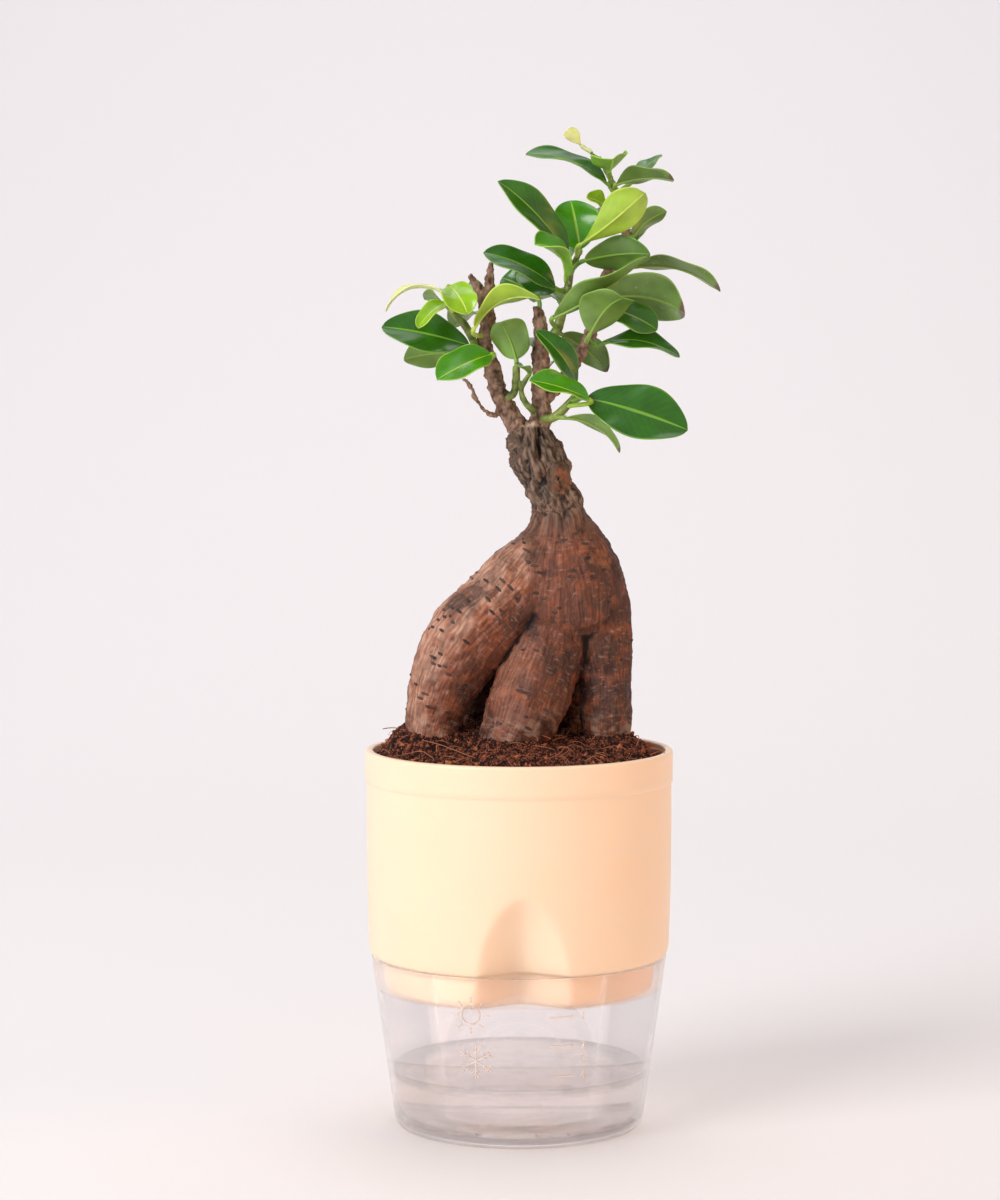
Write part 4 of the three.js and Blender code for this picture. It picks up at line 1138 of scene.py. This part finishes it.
leaves = {
    "left_scion": {
        3: [4.2, [0.5, -9, 2], [-17, -12, -8], [-1, -8, 7], 14, 1, 18, 10, "bright"],
        8: [5.3, [-3, -9, 3], [21, -5, 9], [-1, 3, 8], 13, 5, 16, -14, "young"],
        40: [6.8, [-1, 4, 3], [-4, 3, 7], [-6, -5, 5], 6, 0.5, 14, 0, "dark"],
        44: [6.3, [-2, 8, 2], [-9, 17, -4], [-1, 4, 9], 12, 3, 12, 0, "mid"],
    },
    "centre_scion": {
        36: [3, [2, 7, 1], [5, 14, 3], [0, 1, 1], 12, 1, 12, 0, "mid"],
        37: [5, [-2, 9, 9], [-10, 3, 5], [0, -9, 4], 13, 1, 10, 0, "dark"],
        43: [3.5, [-2, 9, 3], [-8, 22, 1], [0, 1, 3], 13, 2.5, 12, 0, "mid"],
    },
    "right_branch": {
        14: [11, [-2, -3, 1], [-26, -1, 9], [1, -4, 9], 12, 3, 14, 0, "dark"],
        15: [11.7, [-0.5, -3, 2], [1, -12, 3], [-2, 2, 9], 15, -1, 36, 0, "bright"],
        16: [14, [-3, -0.5, 2], [-5, -1, 5], [3, -9, 3], 6, 0.5, 10, 0, "pale"],
        17: [10.7, [0.5, -3, 2], [18, -6, 1], [1, 3, 8], 12, 1.5, 16, 0, "worn"],
        18: [10.5, [6, 4, 5], [9, 7, 8], [-5, -5, 6], 7, 0.5, 12, 0, "mid"],
        20: [10, [-4, -4, -2], [-7, -4, 3], [2, -6, 7], 9, 0.5, 15, 0, "young"],
        21: [8.4, [2.5, 1, 0], [11, 2, 8], [-4, 8, 6], 9, 2, 14, 0, "mid"],
        22: [8, [3, 8, -1], [7, 8, 10], [-8, -6, 4], 8, 1, 14, 0, "dark"],
        25: [7, [9, 3, 1], [27, -1, -8], [2, 3, 8], 12, 3.5, 14, 16, "worn"],
        26: [5.8, [-2, -5, -1], [29, -8, -4], [1, 8, 5], 18, 6.5, 12, 0, "worn"],
        27: [5, [3, -5, 1], [16, -4, -7], [3, -8, 5], 12.5, 1.5, 10, 0, "mid"],
        28: [3.7, [1, -13, 3], [10, -12, 11], [-2, 8, 5], 17, 3, 18, 0, "mid"],
        29: [3.9, [3, -4, -2], [26, -7, -4], [0, -4, 9], 13, 3.5, 10, 0, "dark"],
        41: [4.7, [0, 7, 2], [6, 22, -2], [1, 4, 9], 13, 3, 12, 0, "mid"],
        45: [9, [-1, 8, 1], [-6, 19, 3], [0, 1, 3], 11, 2, 12, 0, "mid"],
    },
    "upper_shoot": {
        10: [4, [-4, -4, 1], [-23, -5, 11], [1, -7, 7], 12.5, 2.5, 12, 0, "dark"],
        11: [5.3, [-2, -3, 4], [-22, -5, 23], [4, -8, 5], 13, 2.5, 20, 12, "mid"],
        12: [5.9, [1, 4, 2], [-3, 5, 16], [0, -9, 2], 16, 1.5, 10, 0, "bright"],
        13: [4.4, [-1, -8, 2], [-10, -10, 10], [2, -4, 8], 15, 3.5, 24, 0, "bright"],
        19: [5.8, [1, -6, 4], [20, -10, 16], [1, 8, 5], 14, -2, 14, 24, "young"],
        23: [5.1, [4, -5, 3], [21, -4, 2], [0, 9, 4], 12, 2.5, 14, 0, "dark"],
        24: [1.8, [-1, -7, 4], [29, -12, 19], [-3, 3, 8], 14, -1.5, 24, 60, "mid"],
        30: [1.7, [2, 7, -1], [15, 4, -12], [3, 8, 5], 11, 2, 12, 0, "worn"],
        38: [3.9, [-4, 5, 0.5], [-12, 1, 6], [0, -8, 5], 12, 1.5, 12, 0, "dark"],
        42: [3, [-1, 10, 3], [-8, 22, 0], [-1, 4, 9], 13, 3, 12, 0, "mid"],
        46: [5.3, [-2, 10, 2], [-5, 20, 5], [-1, 3, 9], 12, 3, 12, 0, "mid"],
    },
    "left_shoot": {
        1: [2, [-1, -3.5, -2], [-28, -2, 6], [0, -8, 5], 15, 1.5, 12, 0, "dark"],
        2: [1, [-5, 6, -1], [-19, 3, -2], [1, 8, 5], 12, 2, 14, 0, "mid"],
        4: [5, [-2.5, -0.5, 2.5], [-17, 3, -7], [0, -2, 9], 5, 4, 20, 0, "pale"],
        5: [4.2, [-0.5, -2, 7], [6, -9, -9], [1, -8, 6], 12, 2, 12, 0, "young"],
        6: [3.9, [-2, -5, 3], [-9, -8, -8], [-4, -8, 5], 7, 1.5, 22, 0, "young"],
        7: [3.8, [-3, 5, 3], [-7, 9, 2], [2, 5, 9], 9, 1, 10, 0, "mid"],
    },
    "stub_shoot": {
        9: [2.9, [0, -1.5, 2.5], [-5, -3, 12], [3, 9, 1], 14, 2, 20, 0, "mid"],
    },
    "fork_twig": {
        39: [1.8, [0, -2, 1], [-4, -7, 2], [0, -5, 9], 6, 0.5, 14, 0, "mid", 1],
    },
    "low_shoot": {
        31: [2.9, [1, -1, 4], [-13, -5, 17], [6, -8, 3], 9.5, 2.5, 16, 0, "dark"],
        32: [2.5, [5, -5, 1], [32, -6, -10], [1, -9, 4], 19, 2, 8, 0, "dark"],
        33: [2, [7, -10, 2.5], [-19, -5, 6], [-1, -6, 8], 12, 1, 20, 0, "bright"],
        34: [1.8, [5, 5, 3], [6, 15, -2], [1, -6, 8], 14, 1.5, 10, 0, "dark"],
        35: [1, [4, -4, 0], [17, -4, -11], [3, 5, 7], 7, 3.5, 18, 0, "worn"],
    },
}
leafTones = {  # upper side, its veins, underside, stalk, and the dried tip where there is one
    "dark": ("#28610A", "#6FA42A", "#5F8434", "#7A9A3C"),
    "mid": ("#33660F", "#7FA83A", "#698A3A", "#84A044"),
    "worn": ("#3A661A", "#8AA848", "#6C8A42", "#84A044", "#6A5444"),
    "bright": ("#469208", "#A2CC3C", "#74A038", "#96B048"),
    "young": ("#86B60C", "#C6DC58", "#9DBE3A", "#AFC654"),
    "pale": ("#D3DA8C", "#E8ECB8", "#DCE2A0", "#C4CF80"),
}
leafShape = {"thickness": 0.32, "stalk": 0.75, "rib": 0.5, "wave": 2.0}
# how quickly a blade widens from its base and narrows to its tip, where it isn't the usual (0.72, 0.66)
bladeOutline = {
    6: (0.6, 0.6),
    13: (0.9, 0.5),
    15: (0.9, 0.8),
    16: (1.4, 0.4),
    19: (1.5, 0.55),
    21: (1.0, 0.8),
}


def leafMaterial(name, baseHex, veinHex, gloss, veinDepth, tip=()):
    # a waxy fig leaf: pale midrib and margin, faint side veins, fine pores
    material, tree, shader = newMaterial(name, Roughness=gloss, IOR=1.45)
    shader.inputs["Coat Weight"].default_value = 0.35
    shader.inputs["Coat Roughness"].default_value = 0.2
    shader.inputs["Subsurface Weight"].default_value = 0.12
    shader.inputs["Subsurface Radius"].default_value = (0.5, 1.0, 0.2)
    shader.inputs["Subsurface Scale"].default_value = 1.0 * mm
    place = addNode(tree, "ShaderNodeUVMap", uv_map="leafMap")
    split = addNode(tree, "ShaderNodeSeparateXYZ", {"Vector": place})
    along = split.outputs["Y"]
    known = addNodes(tree, "ShaderNodeMath", {"u": split.outputs["X"], "along": along}, [
        ("centred", "SUBTRACT", "u", 0.5),
        ("offset", "ABSOLUTE", "centred"),
        ("across", "MULTIPLY", "offset", 2.0),
        # side veins leave the midrib forwards, about 2.2 mm apart on a blade 30 mm long
        ("lean", "MULTIPLY_ADD", "across", -0.24, "along"),
        ("turns", "MULTIPLY", "lean", 2 * math.pi * 13),
        ("ridge", "COSINE", "turns"),
    ])
    for name, value, low, high, atLow, atHigh in (("rib", "across", 0.025, 0.075, 1.0, 0.0),
                                                  ("margin", "across", 0.93, 0.99, 0.0, 0.8),
                                                  ("sideVein", "ridge", 0.86, 1.0, 0.0, 0.07)):
        known[name] = addNode(tree, "ShaderNodeMapRange",
                              {"Value": known[value], "From Min": low, "From Max": high, "To Min": atLow,
                               "To Max": atHigh}, interpolation_type="SMOOTHSTEP")
    addNodes(tree, "ShaderNodeMath", known,
             [("veins", "MAXIMUM", "rib", "sideVein"), ("marked", "MAXIMUM", "veins", "margin")])
    coordinates = addNode(tree, "ShaderNodeTexCoord").outputs["Object"]
    cloud = addNode(tree, "ShaderNodeTexNoise",
                    {"Vector": coordinates, "Scale": 1 / (7 * mm), "Detail": 3.0}).outputs["Fac"]
    light = addNode(tree, "ShaderNodeMapRange",
                    {"Value": cloud, "From Min": 0.3, "From Max": 0.7, "To Min": 0.78, "To Max": 1.22})
    base = addNode(tree, "ShaderNodeVectorMath", {0: srgb(baseHex)[:3], "Scale": light}, operation="SCALE")
    layers = [(known["marked"], veinHex)]
    if tip:  # the rest is speckled, and the last of the blade has dried
        fleck = addNode(tree, "ShaderNodeTexNoise", {"Vector": coordinates, "Scale": 1 / (1.1 * mm)})
        speckled = addNode(tree, "ShaderNodeMapRange",
                           {"Value": fleck.outputs["Fac"], "From Min": 0.68, "From Max": 0.72, "To Max": 0.6})
        ragged = addNode(tree, "ShaderNodeMath", {0: cloud, 1: 0.14, 2: along}, operation="MULTIPLY_ADD")
        dried = addNode(tree, "ShaderNodeMapRange", {"Value": ragged, "From Min": 0.985, "From Max": 1.02})
        layers += [(speckled, "#A9A67E"), (dried, tip[0])]
    finished = base.outputs[0]
    for mask, code in layers:
        finished = addNode(tree, "ShaderNodeMix", {0: mask, 6: finished, 7: srgb(code)},
                           data_type="RGBA").outputs[2]
    tree.links.new(finished, shader.inputs["Base Color"])
    bump = addNode(tree, "ShaderNodeBump",
                   {"Height": known["veins"], "Strength": 0.5, "Distance": veinDepth * mm})
    noiseBump(tree, shader, coordinates, 0.5, 0.12, 0.1, below=bump)
    return material


def bladeTree():
    # a blade swept along its midrib: across the grid is across the blade, along it is from base to tip
    shape = ("Width", "Fold", "Twist", "Wave", "Phase", "Base Power", "Tip Power", "Peak")
    tree, given = newTree("leafBlade", [(place, "Vector") for place in ("Start", "Control", "End", "Side")]
                          + [(size, "Float") for size in shape] + [("Material", "Material")])
    grid = addNode(tree, "GeometryNodeMeshGrid",
                   {"Size X": 2.0, "Size Y": 1.0, "Vertices X": 25, "Vertices Y": 41})
    spot = addNode(tree, "ShaderNodeSeparateXYZ", {"Vector": addNode(tree, "GeometryNodeInputPosition")})
    known = dict(given.items())
    known.update(across=spot.outputs["X"], height=spot.outputs["Y"])
    addNodes(tree, "ShaderNodeMath", known, [
        ("along", "ADD", "height", 0.5),
        ("shifted", "MULTIPLY_ADD", "across", 0.5, 0.5),
        # half-width: an ellipse with a short point
        ("rest", "SUBTRACT", 1.0, "along"),
        ("nearBase", "POWER", "along", "Base Power"),
        ("nearTip", "POWER", "rest", "Tip Power"),
        ("bulge", "MULTIPLY", "nearBase", "nearTip"),
        ("share", "DIVIDE", "bulge", "Peak"),
        ("wide", "MULTIPLY", "share", "Width"),
        # neither side is a perfect curve
        ("shift", "MULTIPLY_ADD", "across", 1.3, "Phase"),
        ("uneven", "MULTIPLY_ADD", "along", 6.5, "shift"),
        ("wobble", "SINE", "uneven"),
        ("swell", "MULTIPLY_ADD", "wobble", 0.05, 0.97),
        ("broad", "MULTIPLY", "wide", "swell"),
        ("half", "MAXIMUM", "broad", 0.15 * mm),
        # each half folds up, softly at the midrib
        ("cosine", "COSINE", "Fold"),
        ("sine", "SINE", "Fold"),
        ("flat", "MULTIPLY", "across", "cosine"),
        ("sideways", "MULTIPLY", "flat", "half"),
        ("spread", "ABSOLUTE", "across"),
        ("bent", "POWER", "spread", 1.35),
        ("lift", "MULTIPLY", "bent", "sine"),
        ("raised", "MULTIPLY", "lift", "half"),
        # a slow wave along the margin, opposite on the two sides, fades where the blade is narrow
        ("phase", "MULTIPLY_ADD", "along", 9.0, "Phase"),
        ("sided", "MULTIPLY_ADD", "across", 1.7, "phase"),
        ("ripple", "SINE", "sided"),
        ("outer", "POWER", "spread", 2.0),
        ("swing", "MULTIPLY", "ripple", "outer"),
        ("fading", "MULTIPLY", "swing", "share"),
        ("waved", "MULTIPLY_ADD", "fading", "Wave", "raised"),
        # the twist turns the cross direction about the midrib
        ("fromMiddle", "SUBTRACT", "along", 0.5),
        ("turn", "MULTIPLY", "fromMiddle", "Twist"),
    ])
    uv = addNode(tree, "ShaderNodeCombineXYZ", {"X": known["shifted"], "Y": known["along"]})
    mapped = addNode(tree, "GeometryNodeStoreNamedAttribute",
                     {"Geometry": grid, "Name": "leafMap", "Value": uv}, data_type="FLOAT2", domain="CORNER")
    line = addNode(tree, "GeometryNodeCurveQuadraticBezier",
                   {"Resolution": 48, "Start": given["Start"], "Middle": given["Control"],
                    "End": given["End"]})
    midrib = addNode(tree, "GeometryNodeSampleCurve",
                     {"Curves": line, "Factor": known["along"]}, mode="FACTOR")
    known.update(tangent=midrib.outputs["Tangent"], midrib=midrib.outputs["Position"])
    known["over"] = addNode(tree, "ShaderNodeVectorRotate",
                            {"Vector": given["Side"], "Axis": known["tangent"], "Angle": known["turn"]},
                            rotation_type="AXIS_ANGLE")
    addNodes(tree, "ShaderNodeVectorMath", known, [
        ("crossed", "CROSS_PRODUCT", "over", "tangent"),
        ("up", "NORMALIZE", "crossed"),
        ("overStep", "MULTIPLY", "over", "sideways"),
        ("upStep", "MULTIPLY", "up", "waved"),
        ("step", "ADD", "overStep", "upStep"),
        ("goal", "ADD", "step", "midrib"),
    ])
    moved = addNode(tree, "GeometryNodeSetPosition", {"Geometry": mapped, "Position": known["goal"]})
    endTree(tree, moved, given["Material"])
    return tree


def stalkTree():
    # a stalk from the stem to the blade, running on as a rib under the midrib
    places = ("From", "From Handle", "To Handle", "Start", "Control", "End", "Drop")
    tree, given = newTree("leafStalk", [(place, "Vector") for place in places]
                          + [("Thickness", "Float"), ("Rib", "Float"), ("Material", "Material")])
    line = addNode(tree, "GeometryNodeCurvePrimitiveBezierSegment",
                   {"Resolution": 14, "Start": given["From"], "Start Handle": given["From Handle"],
                    "End Handle": given["To Handle"], "End": given["Start"]})
    section = addNode(tree, "GeometryNodeCurvePrimitiveCircle", {"Resolution": 10, "Radius": 1.0})
    stalk = addNode(tree, "GeometryNodeCurveToMesh",
                    {"Curve": line, "Profile Curve": section, "Scale": given["Thickness"],
                     "Fill Caps": True})
    midrib = addNode(tree, "GeometryNodeCurveQuadraticBezier",
                     {"Resolution": 24, "Start": given["Start"], "Middle": given["Control"],
                      "End": given["End"]})
    dropped = addNode(tree, "GeometryNodeSetPosition", {"Geometry": midrib, "Offset": given["Drop"]})
    along = addNode(tree, "GeometryNodeSplineParameter")
    taper = addNode(tree, "ShaderNodeMapRange",
                    {"Value": along.outputs["Factor"], "To Min": 1.0, "To Max": 0.12})
    thickness = addNode(tree, "ShaderNodeMath", {0: taper, 1: given["Rib"]}, operation="MULTIPLY")
    rib = addNode(tree, "GeometryNodeCurveToMesh",
                  {"Curve": dropped, "Profile Curve": section, "Scale": thickness,
                   "Fill Caps": True})
    both = addNode(tree, "GeometryNodeJoinGeometry")
    tree.links.new(stalk.outputs[0], both.inputs[0])
    tree.links.new(rib.outputs[0], both.inputs[0])
    endTree(tree, both, given["Material"])
    return tree


def makeLeaves():
    blades, stalks = bladeTree(), stalkTree()
    tones = {}
    for tone, (above, vein, below, stalk, *tip) in leafTones.items():
        tones[tone] = (leafMaterial(tone + "FigLeafTop", above, vein, 0.24, -0.25, tip),
                       leafMaterial(tone + "FigLeafUnderside", below, vein, 0.48, 0.3, tip),
                       stemBark(tone + "LeafStalk", stalk, vein, 0.42, 0.1))
    for stemName, grownHere in leaves.items():
        for number, row in grownHere.items():
            at, stalk, reach, faces, width, arch, fold, twist, tone = row[:9]
            rows = stems[stemName][row[9] if len(row) > 9 else 0]
            origin = Vector(smoothRow(rows, at)[:3])
            start = origin + Vector(stalk)
            end = start + Vector(reach)
            axis = Vector(reach).normalized()
            side = axis.cross(Vector(faces)).normalized()
            normal = side.cross(axis)
            control = (start + end) / 2 + normal * 2 * arch
            firstWay = (control - start).normalized()
            lean = (start - origin).length * 0.35
            upper, under, stalkMaterial = tones[tone]
            half = leafShape["thickness"] / 2 * normal
            basePower, tipPower = bladeOutline.get(number, (0.72, 0.66))
            widest = basePower / (basePower + tipPower)
            peak = widest ** basePower * (1 - widest) ** tipPower
            name = "leaf_%02d" % number
            ends = {"Start": (start + half) * mm, "Control": (control + half) * mm, "End": (end + half) * mm}
            blade = grown(meshObject("host", [], []), blades, "blade", **ends, Side=side, Width=width * mm,
                          Fold=math.radians(fold), Twist=math.radians(twist),
                          Wave=min(leafShape["wave"], 0.15 * width) * mm, Phase=number * 1.7,
                          BasePower=basePower, TipPower=tipPower, Peak=2 * peak, Material=upper)
            blade.data.materials.append(under)
            thick = blade.modifiers.new("thickness", "SOLIDIFY")
            thick.thickness = leafShape["thickness"] * mm
            thick.offset = -1
            thick.material_offset = 1
            thick.material_offset_rim = 1
            blade = madePlain(blade, "blade")
            ends = {"Start": start * mm, "Control": control * mm, "End": end * mm}
            stalkPiece = grown(meshObject("host", [], []), stalks, "stalk", From=origin * mm,
                               FromHandle=origin.lerp(start, 0.35) * mm,
                               ToHandle=(start - firstWay * lean) * mm, **ends, Drop=normal * -0.28 * mm,
                               Thickness=leafShape["stalk"] * mm, Rib=leafShape["rib"] * mm,
                               Material=stalkMaterial)
            whole = joinedMeshes("fig" + name.capitalize(), [blade, stalkPiece])
            low, top = start.z * mm, max(v.co.z for v in whole.data.vertices)
            if top > cadBox[1].z:  # the highest bud ends where its solid does
                for v in whole.data.vertices:
                    v.co.z = min(v.co.z, low + (v.co.z - low) * (cadBox[1].z - low) / (top - low))
            finishPiece(whole, "young_leaf" if tone in ("young", "pale") else "mature_leaf", name)


# The studio

middle, wall = (0, 0, 0.17), (0, 2.8, 0.35)
studio = {
    "floor": "#EFEDEE",
    "world": ("#F7F5F6", 0.52),
    "camera": {"place": (-0.0062, -1.0665, 0.252), "down": 0.0755, "lens": 99, "sensor": 36},
    "lamps": {  # place, aim, size, power, tint
        "keyLight": ((-1.15, -1.1, 0.85), middle, 0.9, 22.5, "#FFFBFA"),
        "fillLight": ((1.3, -0.55, 0.35), middle, 0.8, 6.2, "#FFB764"),
        "topLight": ((0.1, 0.2, 1.7), middle, 0.9, 4.5, "#FFFFFF"),
        "wallLight": ((0, 0.9, 1.9), wall, 1.6, 13, "#FBF9FF"),
    },
}


def makeStudio():
    floorMaterial, tree, shader = newMaterial("paleStudioFloor", Roughness=0.8)
    shader.inputs["Base Color"].default_value = srgb(studio["floor"])
    # a floor that curves up into a wall behind
    curve = [(0.6 + 2.2 * math.sin(a), 2.2 - 2.2 * math.cos(a)) for a in np.linspace(0, math.pi / 2, 32)]
    points = [Vector((4 * x, y, z)) for y, z in [(-3, 0)] + curve + [(2.8, 4)] for x in (-1, 1)]
    faces = [(i, i + 1, i + 3, i + 2) for i in range(0, len(points) - 2, 2)]
    floor = meshObject("studioFloor", points, faces)
    floor.data.materials.append(floorMaterial)
    world = bpy.data.worlds.new("softStudio")
    world.use_nodes = True
    sky = world.node_tree.nodes["Background"]
    sky.inputs["Color"].default_value = srgb(studio["world"][0])
    sky.inputs["Strength"].default_value = studio["world"][1]
    bpy.context.scene.world = world
    for name, (where, aim, size, power, tint) in studio["lamps"].items():
        light = bpy.data.lights.new(name, "AREA")
        light.size = size
        light.energy = power
        light.color = srgb(tint)[:3]
        lamp = newObject(name, light)
        lamp.location = where
        lamp.rotation_euler = (Vector(aim) - Vector(where)).to_track_quat("-Z", "Y").to_euler()
    bpy.context.scene.view_settings.view_transform = "Standard"
    shot = studio["camera"]
    lens = bpy.data.cameras.new("camera")
    lens.lens = shot["lens"]
    lens.sensor_width = shot["sensor"]
    camera = newObject("camera", lens)
    camera.location = shot["place"]
    camera.rotation_euler = (math.pi / 2 - shot["down"], 0, 0)
    bpy.context.scene.camera = camera


makeStudio()
print("studio ready")
clear = clearPlastic()
makePlanter()
makeReservoir(clear)
makeWater()
makeMarks()
print("pot ready")
root = makeWood()
print("wood ready")
makePeat(pointTree(root))
print("peat ready")
makeLeaves()
print("leaves ready")
